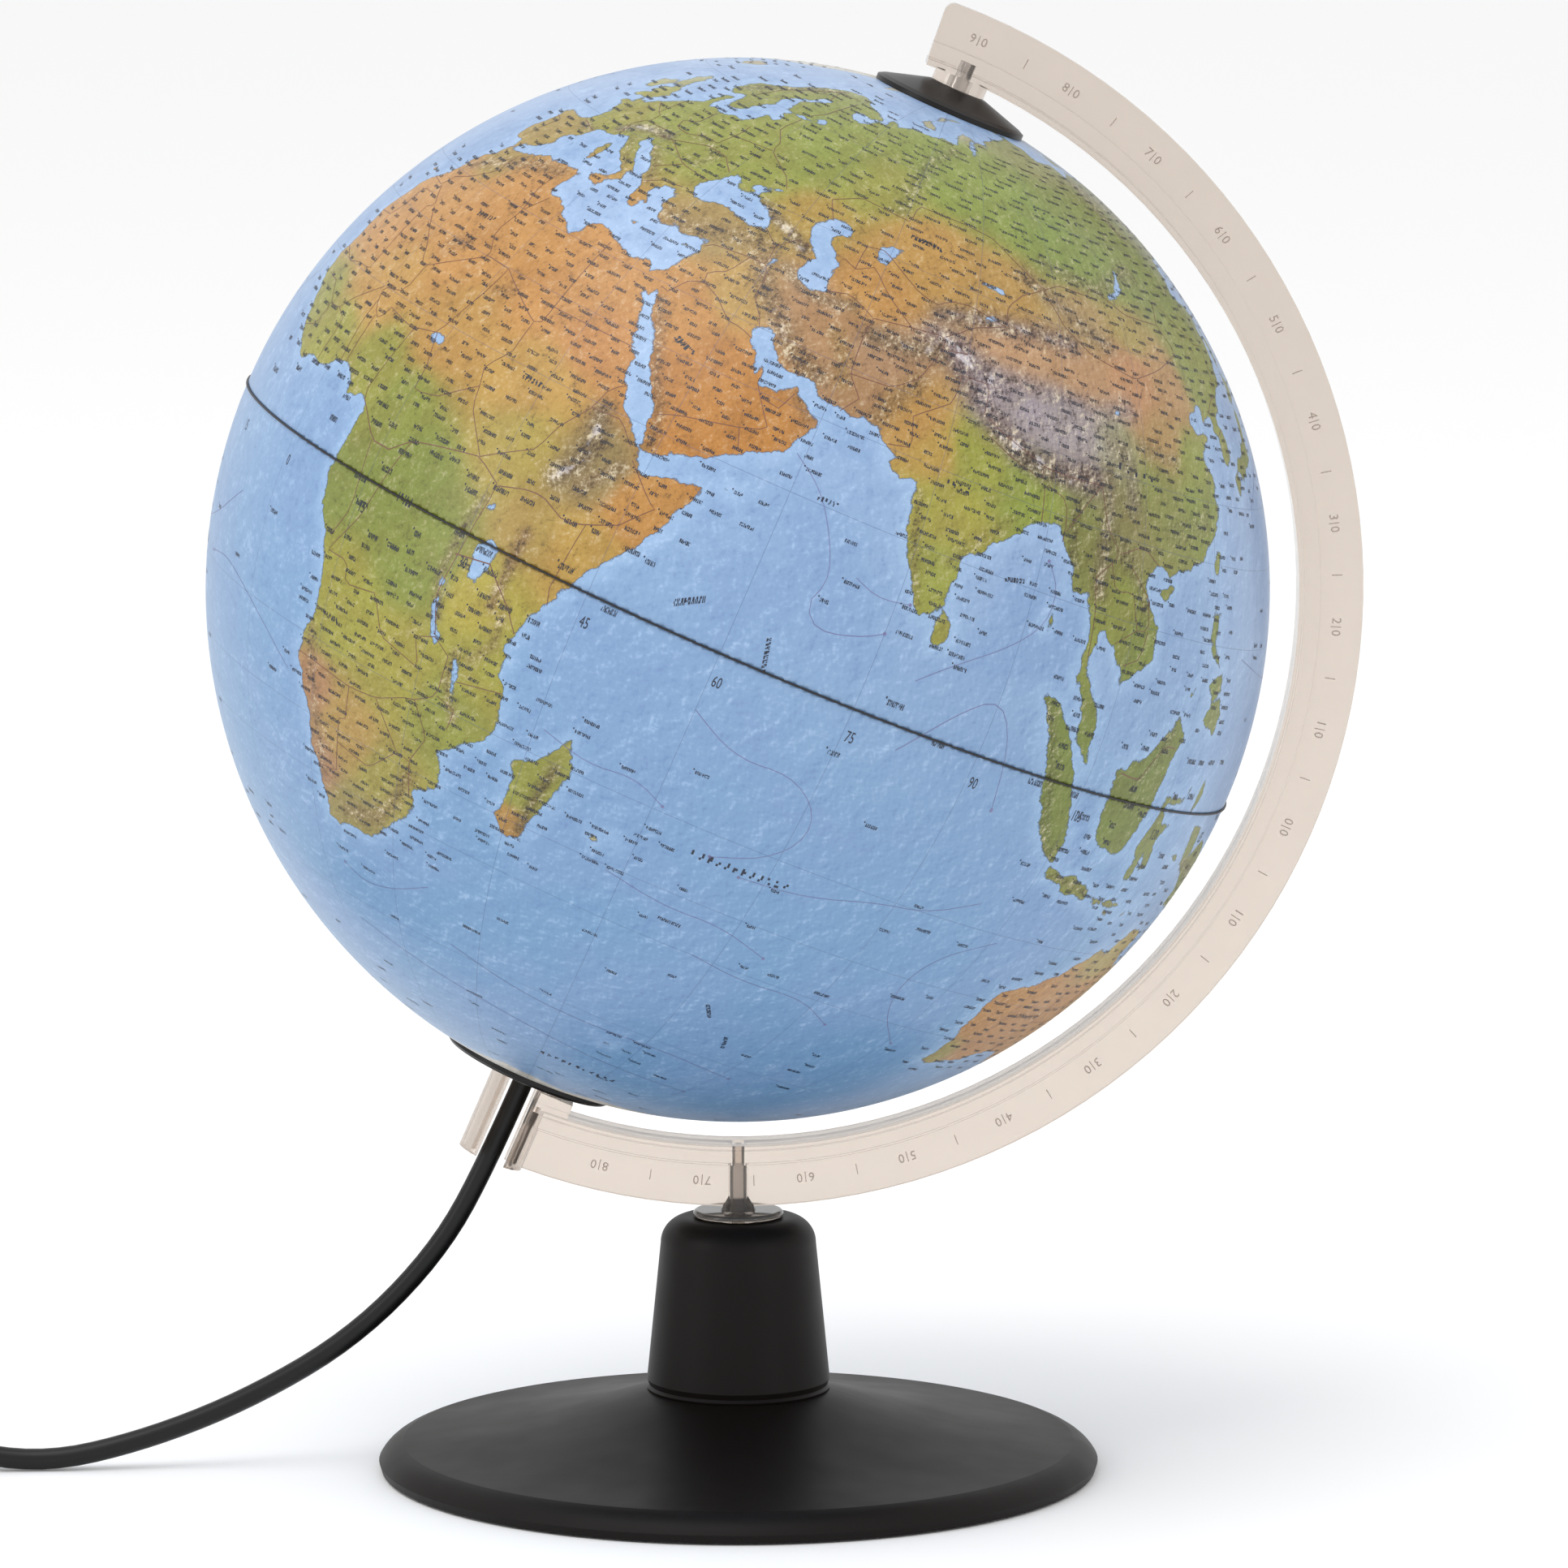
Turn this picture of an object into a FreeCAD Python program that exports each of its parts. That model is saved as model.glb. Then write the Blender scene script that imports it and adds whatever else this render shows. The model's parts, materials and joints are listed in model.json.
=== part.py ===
import FreeCAD, Part
import math
import os

# Illuminated desktop globe on a clear meridian arm, in millimetres.
# +Z is up and the origin is the centre of the base's rest face.
# The ball turns on a tilted axis that leans towards +X, and the arm follows the +X side.

# ---------------------------------------------------------------- driving dimensions
ball_radius = 130.0
ball_wall = 1.6
axis_tilt = 23.5
running_gap = 0.05          # radial clearance of a shaft that turns in its bore
seat_gap = 0.05             # clearance between curved faces that rest on each other
slide_gap = 0.15            # clearance of a piece that slips over or into another

seam_thickness = 0.4        # dark ring that shows at the equator
seam_stand_out = 0.5
seam_lip_height = 10.0
seam_lip_wall = 2.0

arm_gap = 7.0               # from the ball's skin to the arm's inner face
arm_depth = 16.0            # radial height of the whole arm section
flange_width = 14.0
flange_thickness = 1.4
root_width = 5.5
root_depth = 4.2
web_thickness = 2.6
arm_end_angle = 19.5        # upper end, measured from straight up
arm_corner_radius = 2.5
gusset_reach = 5.0          # block that joins the split tube to the arm
gusset_height = 5.0

top_boss_radius = 6.8
top_boss_clearance = 0.3    # from the north cap to the boss
pivot_radius = 2.0
pivot_length = 17.0
pivot_reach = 7.0           # how far the pin stands above the cap

north_cap_radius = 19.25
north_cap_plateau = 7.5
north_cap_height = 3.7      # plateau above the ball's own radius
north_cap_rim = 1.9
north_cap_bevel = 1.4
cap_edge = 0.7              # straight part of a cap's rim
north_neck_radius = 8.0
neck_depth = 8.5            # how far each cap's neck reaches inside the ball

south_ring_radius = 21.75
south_ring_rim = 1.7
south_ring_height = 1.25
south_ring_bevel = 0.8
south_neck_rise = 1.0       # the neck ends this far above the journal's top
south_neck_radius = 15.0
lock_ring_width = 6.0
lock_ring_thickness = 4.5

tube_shoulder = 1.3         # step from the journal to the split tube below it
tube_length = 21.5
tube_slot = 7.15
journal_radius = 7.0
journal_length = 13.9
thrust_washer_radius = 9.6
thrust_washer_thickness = 0.6

nipple_radius = 5.1
nipple_bore_radius = 3.6
nipple_nut_flats = 14.0
nipple_nut_thickness = 3.4
nipple_engagement = 11.0    # how far the nipple sits inside the tube's journal
nipple_reach = 4.0          # how far it screws into the lamp holder
nipple_gap = 0.1            # between the nipple and the arm's tube

holder_radius = 13.5
holder_length = 36.0
holder_wall = 2.2
holder_floor = 8.0
insulator_thickness = 4.0
wire_hole_radius = 1.4
wire_hole_offset = 4.6
thread_shell_height = 16.0
thread_shell_wall = 0.5
thread_shell_gap = 0.25
contact_strip = (7.0, 3.0, 0.5)
contact_tongue = (3.0, 3.0, 1.7)
cord_grip_radius = 4.6
lamp_thread_radius = 6.9    # small screw cap of the lamp
lamp_cap_length = 20.0
lamp_ball_radius = 22.5
lamp_neck_radius = 8.6
lamp_neck_length = 24.0     # from the cap to the middle of the bulb
lamp_glass_wall = 0.7
lamp_cap_wall = 0.4
lamp_cap_play = 2.5         # from the insulator to the lamp's tip
lamp_tip_radius = 2.4
lamp_tip_height = 2.0

base_radius = 89.0
base_rim_height = 7.2
base_crown_height = 20.0    # seat of the stem
base_wall = 2.4
base_rim_reach = 6.0        # the flare ends this far inside the edge
base_edge_height = 2.0      # straight band at the edge
base_edge_bevel = 0.6
base_float = 0.6            # the shell's edge stays this far above the table
felt_thickness = 1.0
cover_thickness = 2.0
cover_inset = 3.2           # from the shell's outside to the cover's edge
ballast_radius = 54.0
ballast_thickness = 4.2
ballast_hole = 9.0
cover_screw_count = 3
cover_screw_circle = 64.0
cover_screw_radius = 1.5
cover_boss_radius = 3.6
cover_boss_reach = 3.0      # how far the bosses run up into the shell
cover_screw_short = 1.0     # the screws stop this far below the rim's height

stem_height = 43.3
stem_foot_radius = 22.6
stem_top_radius = 19.2
stem_shoulder = 6.5
stem_wall = 2.4
stem_boss_radius = 5.0
stem_ceiling = 3.0
stem_lip = 0.7
foot_disc_radius = 11.15
foot_disc_thickness = 1.7
foot_rise = 1.0             # from the foot disc to the lowest point of the arm
post_radius = 2.8
post_flare = 1.6
post_flare_height = 2.0
tie_screw_radius = 1.5
tie_screw_play = 0.05
tie_head_radius = 3.2
tie_head_height = 2.4
tie_slot = 1.0
tie_washer_radius = 5.0
tie_washer_thickness = 1.0

cord_diameter = 5.2
switch_length = 52.0
switch_width = 24.0
switch_height = 13.0
switch_wall = 1.8
switch_corner = 6.0
switch_foot_round = 1.6
switch_crown_round = 2.4
switch_pillar_radius = 2.8
switch_pillar_inset = 12.5  # from the switch's ends to the screws
switch_screw_radius = 1.2
switch_screw_head = 2.2
switch_screw_sink = 2.0
switch_end = -198.0         # where the cord enters the switch
switch_line = -4.0          # the switch lies along X at this Y
rocker_length = 19.0
rocker_width = 9.0
rocker_half_travel = 10.0
rocker_pin_radius = 1.0
rocker_side_gap = 0.4
rocker_end_gap = 0.9
rocker_drop = 3.4           # its axis lies this far below the switch's top
rocker_stand = 0.6          # its middle stands this far above the switch
rocker_cheek = (8.0, 2.4)   # length and width of the ribs that hold its pin

coil_x = -253.0
coil_y = 50.0
coil_turn_radii = (36.2, 31.0, 25.8, 20.6)      # turns of the bottom layer
coil_layers = 3
coil_layer_pitch = 4.5
plug_line = -284.0          # the plug lies along Y at this X
plug_start = 84.0
plug_relief_length = 20.0
plug_body_length = 34.0
plug_body_width = 35.3
plug_body_height = 13.7
plug_neck_width = 13.0
plug_neck_height = 11.0
plug_waist_share = 0.45     # where the body has its middle section, and how wide it is there
plug_waist_width = 0.72
plug_waist_height = 0.97
relief_start = 1.1          # wall of the strain relief at the cord, and at the body
relief_end = 2.4
relief_grooves = 4
relief_groove_width = 1.2
relief_bridge = 3.0
pin_radius = 2.0
pin_length = 19.0
pin_spacing = 18.6
pin_root = 9.0              # length of each pin's thin end, held inside the plug
pin_root_radius = 1.4
pin_tip_round = 1.0
plug_bulge = 0.1            # the body swells this far below its end face

# ---------------------------------------------------------------- sizes that follow
tube_radius = journal_radius + tube_shoulder
tube_bore_radius = nipple_radius + nipple_gap
arm_inner = ball_radius + arm_gap
arm_outer = arm_inner + arm_depth
stem_top = base_crown_height + stem_height
ball_height = stem_top + foot_disc_thickness + foot_rise + arm_outer
ball_inside = ball_radius - ball_wall
journal_foot = ball_radius + south_ring_height + running_gap + thrust_washer_thickness
journal_top = journal_foot - journal_length
cover_bottom = felt_thickness
cover_top = cover_bottom + cover_thickness
cord_radius = cord_diameter / 2
plug_height = plug_body_height / 2 + plug_bulge

V = FreeCAD.Vector
ORIGIN = V(0, 0, 0)
UP = V(0, 0, 1)
BALL_CENTRE = V(0, 0, ball_height)
AXIS = V(math.sin(math.radians(axis_tilt)), 0, math.cos(math.radians(axis_tilt)))

os.makedirs("parts", exist_ok=True)


# ---------------------------------------------------------------- small builders
def save(name, shape):
    """Write one node's solids."""
    for solid in shape.Solids:
        if not solid.isValid():
            print("not valid:", name)
    shape.exportStep("parts/" + name + ".step")
    print(name, len(shape.Solids), round(shape.Volume, 1))


def outline(start, steps):
    """Closed wire in the XZ plane: a step is a point, or an arc as (point on it, end)."""
    edges = []
    here = V(start[0], 0, start[1])
    for step in list(steps) + [start]:
        if isinstance(step[0], tuple):
            middle = V(step[0][0], 0, step[0][1])
            there = V(step[1][0], 0, step[1][1])
            edges.append(Part.Arc(here, middle, there).toShape())
        else:
            there = V(step[0], 0, step[1])
            if here.distanceToPoint(there) < 1e-6:
                continue
            edges.append(Part.LineSegment(here, there).toShape())
        here = there
    return Part.Wire(edges)


def turned(start, *steps):
    """Solid of revolution about Z."""
    return Part.Face(outline(start, steps)).revolve(ORIGIN, UP, 360)


def tube(outer, inner, low, high):
    """Plain ring between two heights."""
    return turned((inner, low), (outer, low), (outer, high), (inner, high))


def rod(radius, low, high):
    return Part.makeCylinder(radius, high - low, V(0, 0, low), UP)


def on_globe_axis(shape):
    """Put a shape that was made about Z onto the tilted axis, at the ball's centre."""
    shape = shape.copy()
    shape.rotate(ORIGIN, V(0, 1, 0), axis_tilt)
    shape.translate(BALL_CENTRE)
    return shape


def axis_point(distance):
    """Point on the globe's axis, measured from the ball's centre towards the north."""
    return BALL_CENTRE + AXIS * distance


def sphere_height(sphere, radius):
    """Height of a sphere's surface above its centre, at a distance from its axis."""
    return math.sqrt(sphere * sphere - radius * radius)


def sphere_arc(sphere, from_radius, to_radius, side):
    """Arc step along a sphere, from one distance off the axis to another."""
    middle = (from_radius + to_radius) / 2
    return ((middle, side * sphere_height(sphere, middle)),
            (to_radius, side * sphere_height(sphere, to_radius)))


def hexagon(flats, low, high):
    corner = flats / math.sqrt(3)
    points = [V(corner * math.cos(math.radians(60 * k)), corner * math.sin(math.radians(60 * k)), low)
              for k in range(7)]
    return Part.Face(Part.makePolygon(points)).extrude(V(0, 0, high - low))


def ring_of(shape, count, start_angle=0.0):
    """Copies of a shape, evenly spaced about Z."""
    copies = []
    for k in range(count):
        copy = shape.copy()
        copy.rotate(ORIGIN, UP, start_angle + 360.0 * k / count)
        copies.append(copy)
    return copies


# ---------------------------------------------------------------- base
def crown_profile(inset):
    """Arc of the base's flared top, moved inwards by a wall."""
    inner_edge = (stem_foot_radius - inset, base_crown_height - inset)
    rim_edge = (base_radius - base_rim_reach - inset, base_rim_height - inset)
    share = 0.42
    middle = (stem_foot_radius + (rim_edge[0] - inner_edge[0]) * share,
              rim_edge[1] + (inner_edge[1] - rim_edge[1]) * share)
    return inner_edge, middle, rim_edge


def base_hollow(middle_radius, in_inner, in_middle, in_rim):
    """Outline points of the shell's inside, from the edge to the crown."""
    wall = base_radius - base_wall
    ledge = base_rim_height - base_wall - base_edge_bevel * 2
    return [(wall, base_float), (wall, ledge), in_rim, (in_middle, in_inner),
            (middle_radius, base_crown_height - base_wall)]


def make_base_shell():
    inner_edge, middle, rim_edge = crown_profile(0)
    in_inner, in_middle, in_rim = crown_profile(base_wall)
    bore = tie_screw_radius + slide_gap
    band_top = base_float + base_edge_height
    rim_bend = (base_radius - base_rim_reach * 0.32, (base_rim_height + band_top) / 2 + 0.2)
    shell = turned((bore, base_crown_height), inner_edge, (middle, rim_edge),
                   (rim_bend, (base_radius, band_top)), (base_radius - base_edge_bevel, base_float),
                   *base_hollow(bore, in_inner, in_middle, in_rim))
    boss = rod(cover_boss_radius, cover_top, base_rim_height + cover_boss_reach)
    boss.translate(V(cover_screw_circle, 0, 0))
    hollow = turned((0, -1), (base_radius + 1, -1), (base_radius + 1, base_float),
                    *base_hollow(0, in_inner, in_middle, in_rim))
    bosses = [b.common(hollow) for b in ring_of(boss, cover_screw_count, 90)]
    shell = shell.fuse(bosses).removeSplitter()
    pilot = rod(cover_screw_radius + running_gap, 0, cover_screw_tip + 2 * slide_gap)
    pilot.translate(V(cover_screw_circle, 0, 0))
    return shell.cut(ring_of(pilot, cover_screw_count, 90))


cover_screw_tip = base_rim_height - cover_screw_short
cover_radius = base_radius - cover_inset
screw_head_radius = cover_screw_radius * 1.9
screw_head_height = 1.2


def make_cover():
    cover = tube(cover_radius, tie_washer_radius + 2, cover_bottom, cover_top)
    hole = rod(cover_screw_radius + slide_gap, 0, cover_top + 1)
    sink = rod(screw_head_radius + slide_gap, 0, cover_bottom + screw_head_height)
    pocket = hole.fuse(sink)
    pocket.translate(V(cover_screw_circle, 0, 0))
    return cover.cut(ring_of(pocket, cover_screw_count, 90))


def make_cover_screws():
    shank = rod(cover_screw_radius, cover_bottom, cover_screw_tip)
    head = rod(screw_head_radius, cover_bottom, cover_bottom + screw_head_height)
    screw = shank.fuse(head).removeSplitter()
    screw.translate(V(cover_screw_circle, 0, 0))
    return Part.makeCompound(ring_of(screw, cover_screw_count, 90))


def make_stem():
    base = base_crown_height
    flat = stem_top_radius - stem_shoulder
    corner = stem_shoulder * (1 - math.sqrt(0.5))
    bore = tie_screw_radius + slide_gap
    taper = (stem_foot_radius - stem_top_radius) / stem_height
    inside_foot = stem_foot_radius - stem_wall
    inside_top = stem_top_radius - stem_wall - taper * (stem_shoulder + stem_wall)
    ceiling = stem_top - stem_ceiling
    groove = stem_foot_radius - stem_lip * 0.4
    return turned((bore, base), (stem_boss_radius, base), (stem_boss_radius, ceiling),
                  (inside_top - stem_shoulder / 2, ceiling), (inside_top, ceiling - stem_shoulder / 2),
                  (inside_foot, base), (groove, base), (groove + stem_lip / 2, base + stem_lip),
                  (groove - stem_lip * 0.3, base + 2 * stem_lip),
                  (stem_foot_radius, base + 4 * stem_lip),
                  (stem_top_radius, stem_top - stem_shoulder),
                  ((stem_top_radius - corner, stem_top - corner), (flat, stem_top)),
                  (bore, stem_top))


tie_head_top = base_crown_height - base_wall - tie_washer_thickness
tie_screw_tip = ball_height - arm_inner - flange_thickness - root_depth


def make_tie_screw():
    shank = rod(tie_screw_radius, tie_head_top - tie_head_height, tie_screw_tip)
    head = rod(tie_head_radius, tie_head_top - tie_head_height, tie_head_top)
    slot = Part.makeBox(2 * tie_head_radius, tie_slot, tie_slot)
    slot.translate(V(-tie_head_radius, -tie_slot / 2, tie_head_top - tie_head_height))
    return shank.fuse(head).removeSplitter().cut(slot)


# ---------------------------------------------------------------- arm
def arm_section(inner, outer, width, start, sweep):
    """Curved bar about the ball's centre, swept in the XZ plane."""
    corners = [V(0, -width / 2, inner), V(0, width / 2, inner), V(0, width / 2, outer),
               V(0, -width / 2, outer), V(0, -width / 2, inner)]
    face = Part.Face(Part.makePolygon(corners))
    face.rotate(ORIGIN, V(0, 1, 0), start)
    bar = face.revolve(ORIGIN, V(0, 1, 0), sweep)
    bar.translate(BALL_CENTRE)
    return bar


pivot_top = ball_radius + north_cap_height + pivot_reach


def make_arm():
    tube_angle = 180 + axis_tilt
    end_angle = tube_angle - math.degrees((tube_radius + tube_bore_radius) / 2 / arm_inner)
    sweep = end_angle - arm_end_angle
    flange = arm_section(arm_inner, arm_inner + flange_thickness, flange_width, arm_end_angle, sweep)
    root = arm_section(arm_inner + flange_thickness / 2, arm_inner + flange_thickness + root_depth,
                       root_width, arm_end_angle, sweep)
    web = arm_section(arm_inner + flange_thickness / 2, arm_outer, web_thickness, arm_end_angle, sweep)
    tip = [edge for edge in web.Edges
           if all(abs((v.Point - BALL_CENTRE).Length - arm_outer) < 0.1 and
                  abs(math.degrees(math.atan2(v.Point.x, v.Point.z - ball_height)) - arm_end_angle) < 0.1
                  for v in edge.Vertexes)
           and edge.Length < web_thickness * 1.5]
    web = web.makeFillet(arm_corner_radius, tip)

    boss_foot = ball_radius + north_cap_height + top_boss_clearance
    boss = on_globe_axis(rod(top_boss_radius, boss_foot, arm_inner + flange_thickness))
    journal = on_globe_axis(rod(journal_radius, -journal_foot - 0.5, -journal_top))
    sleeve = on_globe_axis(rod(tube_radius, -journal_foot - tube_length, -journal_foot))
    gusset = Part.makeBox(tube_radius + gusset_reach, 2 * top_boss_radius, gusset_height)
    gusset.translate(V(0, -top_boss_radius, -arm_inner - flange_thickness / 2))
    gusset = on_globe_axis(gusset)
    disc_edge = foot_disc_thickness / 2
    disc_top = stem_top + foot_disc_thickness
    foot = turned((0, stem_top), (foot_disc_radius - disc_edge, stem_top),
                  ((foot_disc_radius, stem_top + disc_edge), (foot_disc_radius - disc_edge, disc_top)),
                  (post_radius + post_flare, disc_top),
                  (post_radius, disc_top + foot_rise + post_flare_height),
                  (0, disc_top + foot_rise + post_flare_height))
    post = rod(post_radius, stem_top, ball_height - arm_inner - flange_thickness / 2)
    arm = flange.fuse([root, web, boss, journal, sleeve, gusset, foot, post])

    cable_bore = on_globe_axis(rod(tube_bore_radius, -journal_foot - tube_length - 1, -journal_top + 1))
    slot = Part.makeBox(tube_slot, 4 * tube_radius, tube_length + 2)
    slot.translate(V(-tube_slot / 2, -2 * tube_radius, -journal_foot - tube_length - 1.7))
    slot = on_globe_axis(slot)
    pin_hole = on_globe_axis(rod(pivot_radius, boss_foot - 1, pivot_top))
    screw_hole = rod(tie_screw_radius + tie_screw_play, stem_top - 1, ball_height - arm_inner + 1)
    return arm.cut([cable_bore, slot, pin_hole, screw_hole]).removeSplitter()


# ---------------------------------------------------------------- turning ball
seam_half = seam_thickness / 2
north_hole = north_neck_radius + slide_gap
south_hole = south_neck_radius + slide_gap


def make_hemisphere(side, hole):
    """Half of the ball's skin, with a round hole at its pole."""
    rim_out = sphere_height(ball_radius, seam_half)
    rim_in = sphere_height(ball_inside, seam_half)
    outer_middle = (ball_radius * math.sqrt(0.5), side * ball_radius * math.sqrt(0.5))
    inner_middle = (ball_inside * math.sqrt(0.5), side * ball_inside * math.sqrt(0.5))
    shell = turned((rim_out, side * seam_half),
                   (outer_middle, (hole, side * sphere_height(ball_radius, hole))),
                   (hole, side * sphere_height(ball_inside, hole)),
                   (inner_middle, (rim_in, side * seam_half)))
    return on_globe_axis(shell)


def make_seam_ring():
    lip_outer = sphere_height(ball_inside, seam_lip_height / 2) - slide_gap
    lip_inner = lip_outer - seam_lip_wall
    half = seam_lip_height / 2
    bead = ball_radius + seam_stand_out
    ring = turned((lip_inner, -half), (lip_outer, -half), (lip_outer, -seam_half), (bead, -seam_half),
                  (bead, seam_half), (lip_outer, seam_half), (lip_outer, half), (lip_inner, half))
    return on_globe_axis(ring)


def make_north_cap():
    seat = ball_radius + seat_gap
    bore = pivot_radius + running_gap
    top = ball_radius + north_cap_height
    rim_seat = sphere_height(seat, north_cap_radius)
    cap = turned((bore, top), (north_cap_plateau, top),
                 (north_cap_radius - north_cap_bevel, rim_seat + north_cap_rim),
                 (north_cap_radius, rim_seat + north_cap_rim - cap_edge), (north_cap_radius, rim_seat),
                 sphere_arc(seat, north_cap_radius, north_neck_radius, 1),
                 (north_neck_radius, ball_radius - neck_depth), (bore, ball_radius - neck_depth))
    return on_globe_axis(cap)


def make_south_ring():
    seat = ball_radius + seat_gap
    bore = journal_radius + running_gap
    face = -(ball_radius + south_ring_height)
    rim_seat = sphere_height(seat, south_ring_radius)
    neck_end = -(journal_top + south_neck_rise)
    ring = turned((bore, face), (thrust_washer_radius + 1.0, face),
                  (south_ring_radius - south_ring_bevel, -(rim_seat + south_ring_rim)),
                  (south_ring_radius, -(rim_seat + south_ring_rim - cap_edge)),
                  (south_ring_radius, -rim_seat),
                  sphere_arc(seat, south_ring_radius, south_neck_radius, -1),
                  (south_neck_radius, neck_end), (bore, neck_end))
    return on_globe_axis(ring)


def make_lock_ring(neck, side):
    """Push-on ring that holds a cap from inside the ball."""
    seat = ball_inside - seat_gap
    inner = neck + running_gap
    outer = neck + lock_ring_width
    flat = sphere_height(seat, outer) - lock_ring_thickness
    ring = turned((inner, side * flat), (outer, side * flat), (outer, side * sphere_height(seat, outer)),
                  sphere_arc(seat, outer, inner, side))
    return on_globe_axis(ring)


# ---------------------------------------------------------------- lamp inside the ball
nut_low = -journal_top
nut_high = nut_low + nipple_nut_thickness
holder_low = nut_high
holder_high = holder_low + holder_length
socket_floor = holder_low + holder_floor
insulator_top = socket_floor + insulator_thickness
nipple_low = -journal_top - nipple_engagement
nipple_high = holder_low + nipple_reach
thread_shell_radius = lamp_thread_radius + thread_shell_gap
lamp_cap_low = socket_floor + insulator_thickness + lamp_cap_play
lamp_cap_high = lamp_cap_low + lamp_cap_length


def make_holder_body():
    thread = nipple_radius + running_gap
    inside = holder_radius - holder_wall
    grip = holder_radius - 1.2
    body = turned((thread, holder_low), (grip, holder_low), (holder_radius, holder_low + 1.5),
                  (holder_radius, holder_high - 2), (holder_radius - 1, holder_high),
                  (inside, holder_high), (inside, socket_floor), (thread, socket_floor))
    return on_globe_axis(body)


def make_insulator():
    seat = holder_radius - holder_wall - slide_gap
    disc = rod(seat, socket_floor, insulator_top)
    holes = []
    for side in (-1, 1):
        hole = rod(wire_hole_radius, socket_floor - 1, insulator_top + 1)
        hole.translate(V(0, side * wire_hole_offset, 0))
        holes.append(hole)
    return on_globe_axis(disc.cut(holes))


def make_thread_shell():
    outer = thread_shell_radius + thread_shell_wall
    return on_globe_axis(tube(outer, thread_shell_radius, insulator_top, insulator_top + thread_shell_height))


def centred_bar(size):
    """Flat bar on the insulator, centred on the axis."""
    length, width, height = size
    return Part.makeBox(length, width, height, V(-length / 2, -width / 2, insulator_top))


def make_centre_contact():
    return on_globe_axis(centred_bar(contact_strip).fuse(centred_bar(contact_tongue)).removeSplitter())


def make_lamp_cap():
    low = lamp_cap_low + lamp_tip_height / 2
    cone_top = low + lamp_thread_radius * 0.4
    inside = lamp_thread_radius - lamp_cap_wall
    cap = turned((lamp_tip_radius, low), (2 * lamp_tip_radius - lamp_cap_wall, low),
                 (lamp_thread_radius, cone_top), (lamp_thread_radius, lamp_cap_high), (inside, lamp_cap_high),
                 (inside, cone_top + 1), (lamp_tip_radius, low + 1))
    return on_globe_axis(cap)


def make_lamp_tip():
    low = lamp_cap_low
    shoulder = low + lamp_tip_height / 2
    tip = turned((0, low), (lamp_tip_radius * 2 / 3, low), (lamp_tip_radius, shoulder),
                 (lamp_tip_radius, low + lamp_tip_height), (0, low + lamp_tip_height))
    return on_globe_axis(tip)


def make_lamp_glass():
    inner_ball = lamp_ball_radius - lamp_glass_wall
    neck_in = lamp_neck_radius - lamp_glass_wall
    centre = lamp_cap_high + lamp_neck_length
    join = centre - sphere_height(lamp_ball_radius, lamp_neck_radius)
    join_in = centre - sphere_height(inner_ball, neck_in)
    glass = turned((lamp_neck_radius, lamp_cap_high), (lamp_neck_radius, join),
                   ((lamp_ball_radius, centre), (0, centre + lamp_ball_radius)), (0, centre + inner_ball),
                   ((inner_ball, centre), (neck_in, join_in)), (neck_in, lamp_cap_high))
    return on_globe_axis(glass)


def make_cord_grip():
    """Two-part clamp block that holds the cord where it enters the lamp holder."""
    block = tube(cord_grip_radius, cord_radius + slide_gap, nipple_high + slide_gap, socket_floor - slide_gap)
    return on_globe_axis(block)


# ---------------------------------------------------------------- cord
hanging_route = [tuple(axis_point(nipple_low)), tuple(axis_point(nipple_low - 25.0)),
                 (-73.8, 0.3, 54.8), (-94.6, -0.4, 33.2), (-120.8, -0.8, 17.6), (-147.6, -1.6, 7.0),
                 (-173.2, -3.0, 1.5), (switch_end, switch_line, switch_height / 2)]
turn_route = [(switch_end - switch_length, switch_line, switch_height / 2), (-266.5, -4.2, 4.2),
              (-280.9, 4.3, 2.7), (-289.2, 18.7, 2.7), (-289.4, 34.5, 2.6), (-288.8, 44.0, 2.6)]
plug_route = [(-283.7, 58.0, 11.2), (-284.1, 71.5, 7.6), (plug_line, plug_start, plug_height)]


def rounded_route(points, name):
    """Straight runs joined by arcs as large as the two runs allow."""
    points = [V(*p) for p in points]
    edges = []
    radii = []
    here = points[0]
    for before, corner, after in zip(points, points[1:], points[2:]):
        incoming = (corner - before).normalize()
        outgoing = (after - corner).normalize()
        turn = incoming.getAngle(outgoing)
        if turn < 0.002:
            continue
        reach = 0.45 * min(corner.distanceToPoint(before), after.distanceToPoint(corner))
        radius = reach / math.tan(turn / 2)
        radii.append(round(radius, 1))
        start = corner - incoming * reach
        end = corner + outgoing * reach
        inward = (outgoing - incoming).normalize()
        middle = corner + inward * (radius / math.cos(turn / 2) - radius)
        if here.distanceToPoint(start) > 1e-6:
            edges.append(Part.LineSegment(here, start).toShape())
        edges.append(Part.Arc(start, middle, end).toShape())
        here = end
    edges.append(Part.LineSegment(here, points[-1]).toShape())
    path = Part.Wire(edges)
    print(name, "length", round(path.Length, 1), "radii", radii)
    return path


def cord_tube(points, name):
    path = rounded_route(points, name)
    start = V(*points[0])
    heading = (V(*points[1]) - start).normalize()
    section = Part.Wire([Part.Circle(start, heading, cord_radius).toShape()])
    solid = path.makePipeShell([section], True, False)
    expected = math.pi * cord_radius ** 2 * path.Length
    print(name, "volume over section x length", round(solid.Volume / expected, 4))
    return solid


def make_coil():
    inner = coil_turn_radii[-1] - cord_radius
    outer = coil_turn_radii[0] + cord_radius
    second = cord_diameter + coil_layer_pitch
    top = cord_diameter + coil_layer_pitch * (coil_layers - 1)
    coil = turned((inner, 0), (outer, 0), (outer, cord_diameter), (outer - cord_radius, second),
                  (outer - cord_diameter, top), (outer - 2 * cord_diameter, top),
                  (inner + cord_radius, second), (inner, cord_diameter))
    coil.translate(V(coil_x, coil_y, 0))
    return coil


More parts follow.
